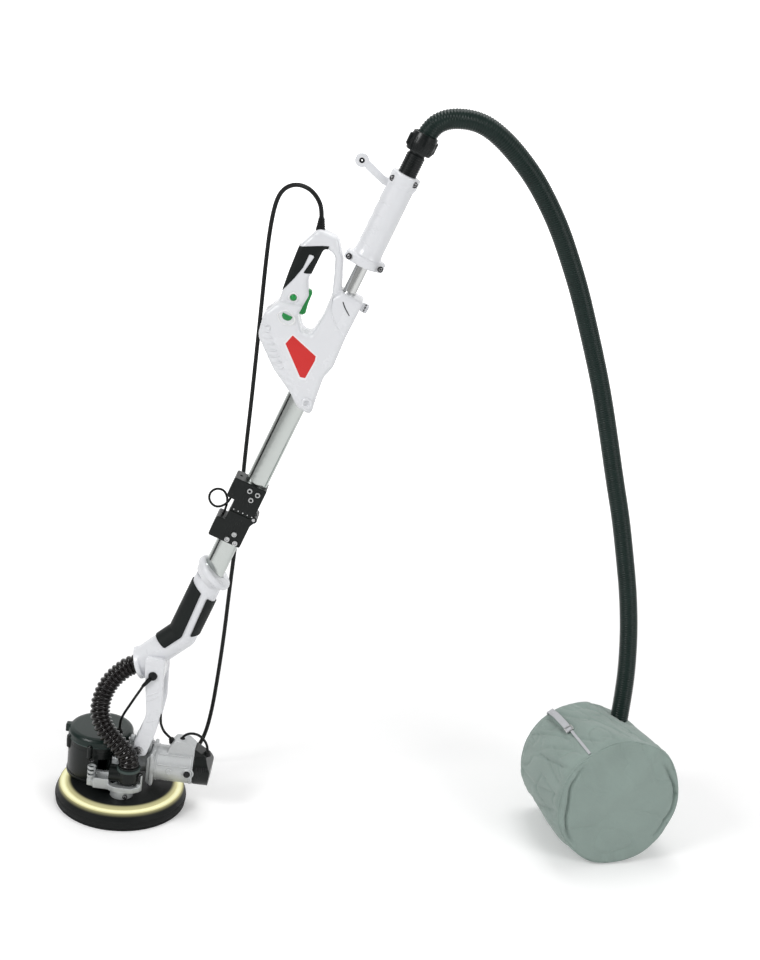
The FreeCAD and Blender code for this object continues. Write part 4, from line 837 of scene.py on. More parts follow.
name_plate = joined("blank_plate", [skin_patch("border", near_half, border_loop, 0.0003, border_white),
    skin_patch("plate", near_half, label_loop, 0.0006, plate_red)])


def ridge(name, points, width, material):
    """A low rounded bead along a line of (x, y, z) points in millimetres."""
    line, marks = along(routed([tuple(c / 1000 for c in point) for point in points]), width * 0.5)
    reach = marks[-1]

    def shape(mark, angle):
        end = min(mark, reach - mark)
        return width / 2 * min(1.0, math.sqrt(max(0.0, end) / (width * 0.5) + 0.04))

    return hose(name, line, marks, shape, 10, material)


rib_low, rib_high = (Vector((-116, 997)), Vector((-63, 936))), (Vector((-104, 1002)), Vector((-46, 946)))
finger_ribs = []
for k in range(8):
    t = k / 7
    bow = Vector((-4.5, -5.0)) * math.sin(math.pi * t)
    outer, inner = rib_low[0].lerp(rib_low[1], t) + bow, rib_high[0].lerp(rib_high[1], t)
    middle = (outer + inner) / 2 + Vector((1.5, -2.0))
    finger_ribs.append(ridge("rib", [(outer.x, -17.5, outer.y), (middle.x, -23.0, middle.y),
        (inner.x, -28.8, inner.y)], 0.0028, white_plastic))
ribs = joined("finger_ribs", finger_ribs)
collar_line = ridge("collar_line", [(-25, -30.2, 1102), (-22, -31, 1088), (-14, -31.0, 1072),
    (0, -31, 1058), (16, -31, 1048), (26, -29, 1043)], 0.0022, white_plastic)
trim_black = plastic("trim_black", (0.008, 0.009, 0.009), 0.34, 0.0006, 0.00003, 0.3, 0.04)
# A black bead along the cover's slit: painted shadow, standing for the shade inside the slit.
painted_shadow_slit = ridge("cover_slit", [(-4, -31, 1099), (0, -31.1, 1094), (7, -31.1, 1088), (17, -30.6, 1081)],
    0.0019, trim_black)
boss = lathe("bottom_boss", [(0.0, 0.0), (0.0045, 0.0), (0.0052, 0.0012), (0.0058, 0.0030),
    (0.0085, 0.0036), (0.0098, 0.0028), (0.0102, 0.0), (0.0102, -0.004), (0.0, -0.004)], white_plastic,
    facing(millimetres(17, -31.0, 906), (0, -1, 0)), 36)
screw_metal = metal("screw_metal", (0.3, 0.3, 0.31), 0.32)
fixings = []


def screw_head(spot, way, radius=0.0042, slot_turn=0.3):
    """A recessed cross-head screw: a black ring of painted shade for its well, a domed head, and raised
    black bars of painted shade for its cross.
    """
    # The well is a black ring: painted shade in the recess round the head.
    well = lathe("well", [(0.0, -0.0002), (radius * 1.12, -0.0002), (radius * 1.3, 0.0005),
        (radius * 1.45, 0.0), (radius * 1.5, -0.001), (0.0, -0.001)], trim_black, facing(spot, way), 28)
    head = lathe("head", [(radius * 0.95, -0.0004), (radius * 0.92, 0.0003), (radius * 0.6, 0.0009),
        (0.0, 0.0011)], screw_metal, facing(spot, way), 24)
    # The cross is two raised black bars: painted shade standing for the dark of the cross slot.
    cross = []
    for quarter in (0, 1):
        bar = fresh("bar", [(x * radius * 0.62, y * radius * 0.14, z) for z in (0.0006, 0.00125) for x,
            y in ((-1, -1), (1, -1), (1, 1), (-1, 1))], [(3, 2, 1, 0), (4, 5, 6, 7), (0, 1, 5, 4),
            (1, 2, 6, 5), (2, 3, 7, 6), (3, 0, 4, 7)], trim_black, False)
        bar.data.transform(facing(spot, way) @ Matrix.Rotation(slot_turn + quarter * math.pi / 2, 4, "Z"))
        cross.append(bar)
    return joined("screw", [well, head] + cross)


for x, y, z in ((-100, -31, 1000), (14, -31, 918), (17, -31, 1100), (-97, -19, 1178), (-44, -19, 1173)):
    fixings.append(lathe("plug", [(0.0, 0.0001), (0.0028, 0.0), (0.0030, -0.0006), (0.0, -0.0008)],
        white_plastic, facing(millimetres(x, y, z), (0, -1, 0)), 28))
housing_screws = joined("screw_plugs", fixings)

green = plastic("control_green", (0.003, 0.27, 0.05), 0.34, 0.0008, 0.00001, 0.08)
button_place = facing(millimetres(-84, -19.3, 1065), (0, -1, 0))
button_ring = lathe("button_ring", [(0.0062, -0.003), (0.0062, 0.0008), (0.0066, 0.0016), (0.0078, 0.0018),
    (0.0087, 0.0010), (0.0092, -0.0006), (0.0092, -0.003)], border_white, button_place)
button_cap = lathe("button_cap", [(0.0, 0.0030), (0.0030, 0.0029), (0.0046, 0.0024), (0.0055, 0.0014),
    (0.0057, 0.0), (0.0057, -0.006), (0.0, -0.006)], green, button_place)
dial_teeth = 44
verts, faces = [], []
dial_levels = ((-0.0030, 0.0092), (-0.0022, 0.0104), (0.0, 0.0119), (0.0025, 0.0128), (0.0050, 0.0133),
    (0.0072, 0.0134), (0.0078, 0.0126))
for level, radius in dial_levels:
    for i in range(dial_teeth * 4):
        tooth = 0.00035 * math.cos(2 * math.pi * i / 4)
        angle = 2 * math.pi * i / (dial_teeth * 4)
        verts.append(((radius + tooth) * math.cos(angle), (radius + tooth) * math.sin(angle), level))
count = dial_teeth * 4
for ring in range(len(dial_levels) - 1):
    for i in range(count):
        j = (i + 1) % count
        faces.append((ring * count + i, ring * count + j, (ring + 1) * count + j, (ring + 1) * count + i))
faces += [tuple(reversed(range(count))), tuple(range(len(verts) - count, len(verts)))]
dial_wheel = sharpen(fresh("speed_wheel", verts, faces, green), 40)
dial_wheel.data.transform(Matrix.Translation(millimetres(-80, -21.5, 1028)))
dial_rim = ridge("dial_rim", [(-96, -30.9, 1030), (-90, -31.3, 1041), (-79, -31.3, 1042),
    (-66, -31.3, 1036), (-64, -31.3, 1027), (-70, -31.3, 1019), (-84, -31.3, 1018), (-93, -31.0, 1023),
    (-96, -30.9, 1030)], 0.0028, border_white)

trigger_loop = [(-74, 1040, 2), (-57, 1040, 2), (-53, 1045, 3), (-56, 1062, 20), (-57, 1082, 3),
    (-60, 1087, 2), (-74, 1087, 2)]
trigger_block = prism("trigger_blade", trigger_loop, -0.0066, 0.0066, green)
trigger_blade = pillowed(trigger_block, [outline(trigger_loop)], 0.0066, 0.0026, 0.0007)
remeshed(trigger_blade, 0.0007, 2)

knob_profile = [(0.0, 0.0), (0.0068, 0.0), (0.0074, 0.0010), (0.0074, 0.0052), (0.0070, 0.0056),
    (0.0070, 0.0074), (0.0074, 0.0078), (0.0074, 0.0118), (0.0064, 0.0128), (0.0, 0.0130)]
knob_place = facing(millimetres(29.5, 0, 1099), (1, 0, 0))
clamp_knob = lathe("clamp_wheel", knob_profile, white_plastic, knob_place, 40)
flutes = []
for k in range(10):
    angle = 2 * math.pi * k / 10
    flute = ridge("flute", [(7.2 * math.cos(angle), 7.2 * math.sin(angle), 0.6),
        (7.5 * math.cos(angle), 7.5 * math.sin(angle), 6), (7.2 * math.cos(angle), 7.2 * math.sin(angle),
        12.4)], 0.0022, white_plastic)
    flute.data.transform(knob_place)
    flutes.append(flute)
knob_band = lathe("knob_band", [(0.0071, 0.0056), (0.0083, 0.0058), (0.0083, 0.0073), (0.0071, 0.0075)],
    trim_black, knob_place)
clamp_knob = joined("clamp_wheel", [clamp_knob, knob_band] + flutes)

housing_trim = joined("housing_trim", [ribs, collar_line, painted_shadow_slit, boss, button_ring, dial_rim])
for piece, body, slot_name, nodes in ((near_half, "handle", "white_plastic", ("housing_near",)),
        (far_half, "handle", "white_plastic", ("housing_far",)), (grip_skin, "handle", "black_rubber", ()),
        (name_plate, "handle", "white_plastic", ()), (housing_trim, "handle", "white_plastic", ()),
        (housing_screws, "handle", "white_plastic", ("handle_screws",)),
        (button_cap, "lock_button", "green_plastic", ("lock_button",)),
        (dial_wheel, "speed_dial", "green_plastic", ("speed_dial",)), (trigger_blade, "trigger",
        "green_plastic", ("trigger",)), (clamp_knob, "clamp_knob", "white_plastic", ("clamp_knob",))):
    piece.data.transform(pole_place)
    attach(piece, body)
    if nodes:
        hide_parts(*nodes)

# ------------------------------------------------------------------ sanding pad, shroud and skirt
# A round plastic hood carries a ring of light and a soft black brush skirt. Under it a foam
# backed pad with dust holes turns on the spindle and holds the abrasive disc by its pile.


def dressed(material, *nodes):
    """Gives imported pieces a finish, in place of their plain ones."""
    for name in nodes:
        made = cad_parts[name]
        made.data.materials.clear()
        made.data.materials.append(material)


def cast_copy(name, node, voxel, rounds, material, body):
    """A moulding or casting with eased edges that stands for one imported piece."""
    work = bmesh.new()
    work.from_mesh(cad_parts[node].data)
    bmesh.ops.remove_doubles(work, verts=work.verts, dist=1e-6)
    made = fresh(name, [], [], material)
    work.to_mesh(made.data)
    work.free()
    remeshed(made, voxel, rounds)
    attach(made, body)
    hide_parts(node)
    return made


abrasive = Finish("abrasive")
grit, clog = abrasive.noise(0.0006, 1.0), abrasive.noise(0.03, 4.0)
abrasive.give(base_color=abrasive.mix(grit * 0.7 + clog * 0.3, (0.2, 0.08, 0.04), (0.55, 0.3, 0.18)),
    roughness=0.95)
abrasive.bump(grit, 0.0003)
foam = rubber("pad_foam", (0.03, 0.03, 0.032), 0.9, 0.0014, 0.0004)
black_plastic = plastic("black_plastic", (0.0055, 0.0075, 0.007), 0.3, 0.0006, 0.00003, 0.3, 0.04)
dressed(abrasive.material, "sanding_disc")
dressed(foam, "backing_pad")

hood = Finish("hood_plastic_painted_glow")
hood_place = hood.place()
spread = hood.add("ShaderNodeVectorMath", {"operation": "MULTIPLY"}, {0: hood_place, 1: (1.0, 1.0, 0.0)})
radius_here = hood.add("ShaderNodeVectorMath", {"operation": "LENGTH"}, {0: spread}, 1)
dust, grain = hood.noise(0.04, 5.0, 0.65), hood.noise(0.0007, 2.0)
# Painted light: the hood emits in a band round the light ring, a pool of the ring's light painted on the
# plastic. The first mask fades it in over the inner edge, and the shade mask fades it out past the outer
# edge.
painted_glow_rise = hood.add("ShaderNodeMapRange", {"interpolation_type": "SMOOTHSTEP"},
    {0: radius_here, 1: 0.0965, 2: 0.1065, 3: 0.0, 4: 1.0})
shade = hood.add("ShaderNodeMapRange", {"interpolation_type": "SMOOTHSTEP"},
    {0: radius_here, 1: 0.1172, 2: 0.1222, 3: 1.0, 4: 0.0})
hood.give(base_color=hood.mix(dust * 0.5, (0.005, 0.006, 0.006), (0.014, 0.016, 0.0155)),
    roughness=dust * 0.2 + 0.36, specular_ior_level=0.18, emission_color=hood.mix(painted_glow_rise * shade,
    (0.0, 0.0, 0.0), (0.62, 0.58, 0.3)), emission_strength=0.9)
hood.bump(grain, 0.00003)
dressed(hood.material, "shroud")

light = Finish("light_ring_lens")
light_spread = light.add("ShaderNodeVectorMath", {"operation": "MULTIPLY"},
    {0: light.place(), 1: (1.0, 1.0, 0.0)})
light_radius = light.add("ShaderNodeVectorMath", {"operation": "LENGTH"}, {0: light_spread}, 1)
middle = light.add("ShaderNodeMapRange", {"interpolation_type": "SMOOTHSTEP"},
    {0: light_radius.math("ABSOLUTE", light_radius - 0.112), 1: 0.0010, 2: 0.0066, 3: 1.0, 4: 0.0})
diffuser = light.noise(0.012, 2.0)
light.give(base_color=light.mix(diffuser, (0.30, 0.30, 0.22), (0.36, 0.36, 0.27)), roughness=0.4,
    emission_color=light.mix(middle, (0.52, 0.48, 0.2), (0.86, 0.85, 0.5)), emission_strength=0.85)
dressed(light.material, "light_ring")

skirt_profile = [(0.1195, 0.0004), (0.1235, 0.0), (0.1248, 0.0012), (0.1250, 0.004), (0.1246, 0.0062),
    (0.1254, 0.0072), (0.1262, 0.0100), (0.1264, 0.0140), (0.1258, 0.0176), (0.1244, 0.0196),
    (0.1232, 0.0200), (0.1228, 0.0180), (0.1228, 0.0120), (0.1196, 0.0118)]
bristles = Finish("bristle_black")
angle_here = bristles.add("ShaderNodeTexGradient", {"gradient_type": "RADIAL"},
    {"Vector": bristles.place()})
strands = angle_here.math("SINE", angle_here * 4200.0)
tangle = bristles.noise(0.002, 3.0)
bristles.give(base_color=bristles.mix(tangle, (0.003, 0.0035, 0.0035), (0.013, 0.015, 0.0145)),
    roughness=0.6, specular_ior_level=0.18)
bristles.bump(strands * 0.3 + tangle * 0.4, 0.00025)
verts, faces = turned(skirt_profile + [skirt_profile[0]], 180)
brush_skirt = sharpen(fresh("brush_skirt_ring", verts, faces, bristles.material), 50)
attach(brush_skirt, "head")
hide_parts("brush_skirt")

# ------------------------------------------------------------------ gear housing, motor and cap
# The motor lies on the hood: a cast gearbox and flange with screw lugs, a bare cast motor
# body with a terminal box, and a black moulded end cap with air slots and round brush caps.

cast_metal = metal("cast_metal", (0.52, 0.54, 0.545), 0.4, (0.002, 0.002, 0.002), 0.14, 0.55, 0.00008)
turned_metal = metal("turned_metal", (0.56, 0.575, 0.58), 0.42, (0.0016, 0.004, 0.004), 0.12, 0.35)
cast_copy("gear_case", "gear_housing", 0.0011, 3, cast_metal, "head")
cast_copy("motor_case", "motor_housing", 0.0012, 3, turned_metal, "head")
cast_copy("end_cap", "motor_end_cap", 0.0011, 3, black_plastic, "head")

motor_details, cap_details = [], []
for x in (0.0665, 0.1335):
    motor_details.append(lathe("band", [(0.0332, -0.0018), (0.0350, -0.0014), (0.0352, 0.0014),
        (0.0332, 0.0018)], turned_metal, facing((x, 0.0, 0.088), (1, 0, 0)), 64))
for angle in (-70, -35, 145):
    way = Vector((0.0, math.sin(math.radians(angle)), math.cos(math.radians(angle))))
    line = [(x, way.y * 34.2, 88 + way.z * 34.2) for x in (70, 90, 110, 130)]
    motor_details.append(ridge("rib", line, 0.0034, turned_metal))
for y, z in ((-27, 110), (-27, 66), (27, 110), (27, 66)):
    motor_details.append(screw_head(Vector((0.0562, y / 1000, z / 1000)), (-1, 0, 0), 0.0036, y))
motor_details.append(lathe("boss", [(0.0062, -0.004), (0.0062, 0.0016), (0.0054, 0.0024), (0.0030, 0.0024),
    (0.0024, 0.0012), (0.0, 0.0012)], turned_metal, facing((0.094, -0.0335, 0.088), (0, -1, 0)), 32))
motor_trim = joined("motor_trim", motor_details)
for k in range(7):
    cap_details.append(ridge("slot", [(146 + 3.4 * k, -33.2 + 0.35 * k, 104),
        (146.6 + 3.4 * k, -34.2 + 0.3 * k, 92), (147.2 + 3.4 * k, -33.6 + 0.5 * k, 78)], 0.0016, foam))
cap_ring = lathe("ring", [(0.0098, -0.004), (0.0098, 0.0010), (0.0090, 0.0018), (0.0076, 0.0018),
    (0.0070, 0.0008), (0.0070, -0.001)], turned_metal, facing((0.1320, -0.0338, 0.0890), (0, -1, 0.03)), 40)
cap_core = lathe("core", [(0.0, 0.0012), (0.0050, 0.0010), (0.0066, 0.0002), (0.0070, -0.002),
    (0.0, -0.002)], black_plastic, facing((0.1320, -0.0338, 0.0890), (0, -1, 0.03)), 32)
cap_trim = joined("cap_trim", cap_details + [cap_ring, cap_core])
for piece, slot_name in ((motor_trim, "cast_aluminium"), (cap_trim, "black_plastic")):
    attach(piece, "head")

# ------------------------------------------------------------------ suction pot and its lid
# A black moulded pot beside the gearbox holds the suction fan. Its dark green lid has a fine
# rim, a low domed top and screws in small ears.

pot_spot, pot_radius = Vector((-0.051, 0.027, 0.118)), 0.0615
dressed(black_plastic, "blower_housing")
lid_green = plastic("lid_green", (0.006, 0.0165, 0.0135), 0.32, 0.0007, 0.00003, 0.25, 0.06)
rim_green = plastic("rim_green", (0.04, 0.06, 0.055), 0.3, 0.0007, 0.00002, 0.2, 0.1)
cast_copy("pot_lid", "blower_lid", 0.0012, 2, lid_green, "head")
pot_place = Matrix.Translation(pot_spot)
pot_parts = [lathe("rim", [(0.0610, -0.0004), (0.0622, 0.0), (0.0626, 0.0010), (0.0622, 0.0020),
    (0.0610, 0.0024)], rim_green, pot_place, 120), lathe("foot_rim", [(0.0606, -0.0766), (0.0626, -0.0760),
    (0.0632, -0.0730), (0.0626, -0.0700), (0.0606, -0.0695)], black_plastic, pot_place, 120),
    lathe("waist", [(0.0606, -0.0120), (0.0618, -0.0114), (0.0618, -0.0096), (0.0606, -0.0090)],
    black_plastic, pot_place, 120)]
for degrees in (205, 262, 330, 80):
    way = Vector((math.cos(math.radians(degrees)), math.sin(math.radians(degrees)), 0.0))
    pot_parts.append(lathe("ear", [(0.0, 0.0045), (0.0042, 0.0042), (0.0052, 0.0030), (0.0056, -0.006),
        (0.0050, -0.020), (0.0, -0.026)], black_plastic, Matrix.Translation(pot_spot + way * pot_radius),
        28))
    pot_parts.append(screw_head(pot_spot + way * 0.0618 + Vector((0, 0, 0.0042)), (0, 0, 1), 0.0026,
        degrees))
pot_trim = joined("pot_trim", pot_parts)
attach(pot_trim, "head")

# ------------------------------------------------------------------ elbow, its bracket and roll pin
# A cast bracket in front of the gearbox clamps the black dust elbow, with a round foot, a
# stacked hinge post at the left and a screw post at the right.

cast_copy("elbow_clamp", "elbow_bracket", 0.0009, 3, cast_metal, "head")
dressed(black_plastic, "dust_elbow")
pin_steel = metal("pin_steel", (0.55, 0.55, 0.56), 0.22)
dressed(pin_steel, "roll_pin")
neck_ring = lathe("neck_ring", [(0.0196, 0.0), (0.0222, 0.0006), (0.0226, 0.0030), (0.0222, 0.0056),
    (0.0196, 0.0062)], rim_green, Matrix.Translation((0.020, -0.055, 0.0945)), 64)
clamp_parts = [neck_ring]
for spot, radius in (((0.042, -0.058, 0.0885), 0.0040), ((-0.050, -0.055, 0.1028), 0.0036),
        ((0.020, -0.0772, 0.047), 0.0034)):
    way = (0, -1, 0.1) if radius < 0.0035 else (0, 0, 1)
    clamp_parts.append(screw_head(Vector(spot), way, radius, radius * 100))
for level in (0.062, 0.071, 0.080, 0.089):
    clamp_parts.append(lathe("knuckle", [(0.0072, -0.0006), (0.0080, 0.0), (0.0082, 0.0020),
        (0.0080, 0.0040), (0.0072, 0.0046)], cast_metal, Matrix.Translation((-0.050, -0.055, level)), 36))
clamp_trim = joined("clamp_trim", clamp_parts)
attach(clamp_trim, "head")

# ------------------------------------------------------------------ swivel, fork and head hose
# The white fork straddles a cast swivel block. A corrugated hose carries the dust from the
# elbow up into the arm, and two thin cables pass from the fork to the lid and the motor.

dressed(cast_metal, "swivel_block")
white_plastic = plastic("white_arm_plastic", white_colour, 0.27)
cast_copy("fork_legs", "fork", 0.0012, 4, white_plastic, "lower_arm")
fork_ridges = [ridge("leg_ridge", line, 0.0024, white_plastic) for line in ([(42, -36.7, 243),
    (52, -36.9, 249), (63, -36.7, 255)], [(43, -36.7, 233), (53, -36.9, 239), (64, -36.7, 246)],
    [(43, -36.7, 189), (53, -36.9, 192), (63, -36.7, 197)])]
fork_ridges = joined("fork_ridges", fork_ridges)
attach(fork_ridges, "lower_arm")
hose_shine = plastic("hose_shine", (0.004, 0.0028, 0.0026), 0.11, 0.004, 0.00002, 0.3, 0.12)
head_route = [(0.015, 0, 0.291), (0.0, 0, 0.2854), (-0.016, -0.004, 0.272), (-0.031, -0.010, 0.256),
    (-0.041, -0.017, 0.237), (-0.046, -0.025, 0.217), (-0.046, -0.032, 0.198), (-0.040, -0.039, 0.180),
    (-0.027, -0.046, 0.163), (-0.010, -0.052, 0.149), (0.007, -0.056, 0.136), (0.020, -0.055, 0.119),
    (0.020, -0.055, 0.104)]
head_line, head_marks = along(routed(head_route), 0.0009)
head_pitch, head_bulge, head_radius = 0.0092, 0.0044, 0.0190


def corrugation(mark, angle):
    share = (mark / head_pitch) % 1.0
    return head_radius - head_bulge * (1 - math.sin(math.pi * share) ** 0.75)


cut_at = int(np.argmin(np.linalg.norm(head_line - np.array((-0.0435, -0.021, 0.227)), axis=1)))
upper_hose = hose("head_hose_top", head_line[:cut_at + 1], head_marks[:cut_at + 1], corrugation, 40,
    hose_shine)
lower_hose = hose("head_hose_foot", head_line[cut_at:], head_marks[cut_at:], corrugation, 40, hose_shine)


def cable(name, route, radius, material):
    line, marks = along(routed([tuple(c / 1000 for c in point) for point in route]), radius)
    return hose(name, line, marks, lambda mark, angle: radius, 12, material)


feed_upper = cable("feed_cable_top", [(32.6, -41.5, 263.8), (27, -40, 253), (20, -36, 239),
    (15, -33.5, 228.5)], 0.0025, cord_rubber)
motor_upper = cable("motor_cable_top", [(62, 26.5, 176), (63, 21, 170), (65, 15.5, 162.5)], 0.0025,
    cord_rubber)
feed_lower = cable("feed_cable_foot", [(15, -33.5, 228.5), (8, -29, 214), (-4, -17, 188), (-11, -3, 164),
    (-12, 4, 144)], 0.0025, cord_rubber)
motor_lower = cable("motor_cable_foot", [(65, 15.5, 162.5), (69, 10, 155), (78, 4, 147), (93, 0, 138)],
    0.0025, cord_rubber)
motor_loop = cable("motor_loop", [(110, 0, 144), (114, 0, 152), (127, 0, 158), (142, 0, 156), (154, 0, 146),
    (161, 0, 132), (162, 0, 119)], 0.0025, cord_rubber)
glands = [lathe("gland", [(0.0, 0.0), (0.0066, 0.0), (0.0066, 0.004), (0.0052, 0.0052), (0.0050, 0.009),
    (0.0034, 0.0105), (0.0, 0.0105)], cord_rubber, facing(Vector(spot) / 1000, way), 24) for spot,
    way in (((-12, 4, 138), (0.1, -0.8, 2.4)), ((93, 0, 133), (-0.5, 0.1, 1)), ((110, 0, 136), (0.2, 0, 1)),
    ((162, 0, 114), (-0.1, 0, 1)))]
motor_loop = joined("motor_loop", [motor_loop] + glands)
gland_rings = [(0.0, -0.002), (0.0082, -0.002), (0.0086, 0.0), (0.0080, 0.0030), (0.0068, 0.0044),
    (0.0052, 0.0050)]
fork_gland = lathe("fork_gland", gland_rings + [(0.0, 0.0052)], cord_rubber,
    facing((0.050, -0.0372, 0.287), (0, -1, 0)), 32)
sleeve_rings = [(0.0, 0.0), (0.0044, 0.0)]
for step in range(6):
    level, radius = 0.001 + 0.0036 * step, 0.0044 - 0.00022 * step
    sleeve_rings += [(radius, level), (radius, level + 0.0022), (radius - 0.0008, level + 0.0025),
        (radius - 0.0008, level + 0.0034)]
sleeve = lathe("fork_sleeve", sleeve_rings + [(0.0028, 0.0232), (0.0, 0.0232)], cord_rubber,
    facing((0.0465, -0.0415, 0.2835), (-0.6, 0, -0.8)), 24)
fork_gland = joined("fork_gland", [fork_gland, sleeve])
hose_split, feed_split, motor_split = (-0.0435, -0.021, 0.227), (0.015, -0.0335, 0.2285), (0.065, 0.0155,
    0.1625)
for piece, start, end in ((upper_hose, (0.015, 0.0, 0.291), hose_split),
        (feed_upper, (0.0326, -0.0415, 0.2638), feed_split), (motor_upper, (0.062, 0.0265, 0.176),
        motor_split)):
    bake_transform(piece)
for piece, start, end in ((lower_hose, hose_split, (0.020, -0.055, 0.110)),
        (feed_lower, feed_split, (-0.012, 0.004, 0.144)), (motor_lower, motor_split, (0.093, 0.0, 0.138))):
    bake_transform(piece)
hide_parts("head_hose_upper")
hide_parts("head_hose_lower")
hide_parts("cables_upper")
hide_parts("cables_lower")
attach(motor_loop, "head")
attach(fork_gland, "lower_arm")
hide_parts("cable_gland")

# ------------------------------------------------------------------ lower arm and its rubber grips
# Two white mouldings, bent where the pole meets the head, with a slanting hand guard above two
# black rubber skins and a collar that the corrugated hose pushes into.

cast_copy("arm_near_half", "lower_arm_near", 0.0013, 4, white_plastic, "lower_arm")
cast_copy("arm_far_half", "lower_arm_far", 0.0013, 4, white_plastic, "lower_arm")
grip_rubber = rubber("grip_rubber", (0.0075, 0.010, 0.0095), 0.5, 0.0009, 0.00008)
cast_copy("grip_pads", "lower_grip", 0.0008, 2, grip_rubber, "lower_arm")
dressed(pin_steel, "lower_screws", "fold_hinge_pin")

# ------------------------------------------------------------------ pole tubes and fold joint
# Two oval polished tubes meet in black moulded blocks that hinge on a steel pin, clamped with
# bright screws. A loop of cable passes from block to block.

pole_metal = metal("pole_metal", (0.60, 0.63, 0.61), 0.11, (0.0007, 0.0007, 0.06), 0.12, 1.0, 0.00001)
dressed(pole_metal, "lower_tube", "main_tube")
cast_copy("fold_block_low", "fold_lower_block", 0.0009, 2, black_plastic, "lower_arm")
cast_copy("fold_block_top", "fold_upper_block", 0.0009, 2, black_plastic, "handle")
bright_screw = metal("bright_screw", (0.7, 0.71, 0.71), 0.24)


def cap_screw(x, z, radius=0.0049):
    """A bright round screw head whose socket is a black cone of painted shade, on the blocks' front face.
    """
    place = facing(millimetres(x, -22.5, z), (0, -1, 0))
    head = lathe("head", [(0.0026, 0.0026), (0.0030, 0.0031), (0.0042, 0.0031), (radius, 0.0022),
        (radius, -0.001), (0.0, -0.001)], bright_screw, place, 32)
    # The socket is black plastic: painted shade inside the hex hole.
    socket = lathe("socket", [(0.0, 0.0012), (0.0022, 0.0014), (0.0027, 0.0026)], black_plastic, place, 6)
    return joined("cap_screw", [head, socket])


upper_trim = [cap_screw(x, z) for x, z in ((-5, 709), (11, 708), (4, 694))]
lower_trim = [cap_screw(x, z) for x, z in ((4, 620), (-4, 606), (12, 605))]
for k in range(5):
    upper_trim.append(lathe("dot", [(0.0, 0.0005), (0.0011, 0.0004), (0.0013, -0.0002), (0.0, -0.001)],
        bright_screw, facing(millimetres(-17 + 9 * k, -22.5, 664.5), (0, -1, 0)), 16))
for x in (-36, -33.5):
    upper_trim.append(ridge("edge_bead", [(x, -20, 684), (x, -22.3, 694), (x, -22.3, 708), (x, -20, 718)],
        0.0014, black_plastic))
upper_trim, lower_trim = joined("fold_screws_top", upper_trim), joined("fold_screws_low", lower_trim)
for piece, body in ((upper_trim, "handle"), (lower_trim, "lower_arm")):
    piece.data.transform(pole_place)
    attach(piece, body)
fold_cable = cable("fold_loop", [(164.3, 0, 652.6), (160.7, -2, 642.2), (151.3, -4, 630.6),
    (135.7, -5, 625.5), (123.2, -3, 635.2), (121.9, 0, 649.4), (132.8, 3, 659.4), (147.9, 5, 657.3),
    (155.6, 5, 642.9), (155, 3, 626.2), (150.4, 0, 612.9)], 0.0022, cord_rubber)
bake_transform(fold_cable)
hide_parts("fold_cable")

# ------------------------------------------------------------------ extension rod and rear grip
# A chromed rod slides in the pole. The white rear grip is screwed round its top in two halves,
# with shallow finger steps, a lugged flange below, a cap above and an arm with a lined eye.

chrome = metal("chrome", (0.66, 0.67, 0.66), 0.12, (0.0009, 0.0009, 0.05), 0.06)
dressed(chrome, "extension_tube")
grip_low, grip_high, flange_top, cap_foot = 1.1660, 1.3390, 1.1835, 1.3150
finger_lines = (1.2050, 1.2340, 1.2570, 1.2810)
flange_radius, lug_reach, hand_radius, cap_neck, cap_swell = 0.0280, 0.0095, 0.0238, 0.0246, 0.0018
rod_bore, grip_step, around_grip = 0.0124, 0.0005, 96


def rear_shape(level, angle):
    """The radius of the rear grip at a height on the pole: flange, finger steps and cap."""
    edge = min(level - grip_low, grip_high - level)
    rim = 0.0016 * (1 - min(1.0, edge / 0.0022) ** 0.5)
    lug = max(0.0, abs(math.cos(angle - 0.28))) ** 10
    if level < flange_top:
        fall = max(0.0, level - flange_top + 0.0045) / 0.0045
        return flange_radius + lug_reach * lug - rim - 0.0028 * fall ** 2
    if level > cap_foot:
        swell = min(1.0, (level - cap_foot) / 0.007)
        return cap_neck + cap_swell * (3 - 2 * swell) * swell ** 2 - rim
    step = sum(level > line for line in finger_lines)
    foot = ([flange_top] + list(finger_lines))[step]
    head = (list(finger_lines) + [cap_foot])[step]
    share = (level - foot) / (head - foot)
    left = max(0.0, -math.cos(angle)) ** 0.6
    swell = 0.0014 * (1 - share) ** 0.8 * left
    flare = 0.0026 * max(0.0, 1 - (level - flange_top) / 0.014) ** 2
    mark = 0.0005 * math.exp(-((level - foot) / 0.0008) ** 2) * (step > 0) * min(1.0, left * 2)
    return hand_radius + swell + flare - mark


grip_levels = np.arange(grip_low, grip_high + 0.00001, grip_step)
verts, faces = [], []
for level in grip_levels:
    for i in range(around_grip):
        angle = 2 * math.pi * i / around_grip
        radius = rear_shape(level, angle)
        verts.append((radius * math.cos(angle), radius * math.sin(angle), level))
for ring in range(len(grip_levels) - 1):
    for i in range(around_grip):
        j = (i + 1) % around_grip
        low, high = ring * around_grip, (ring + 1) * around_grip
        faces.append((low + i, low + j, high + j, high + i))
top_ring = (len(grip_levels) - 1) * around_grip
for first in (0, top_ring):
    inner = len(verts)
    level = grip_levels[0] if first == 0 else grip_levels[-1]
    for i in range(around_grip):
        angle = 2 * math.pi * i / around_grip
        verts.append((rod_bore * math.cos(angle), rod_bore * math.sin(angle), level))
    for i in range(around_grip):
        j = (i + 1) % around_grip
        rim_face = (first + i, inner + i, inner + j, first + j)
        faces.append(rim_face if first == 0 else tuple(reversed(rim_face)))
whole_grip = fresh("rear_grip", verts, faces, white_plastic)
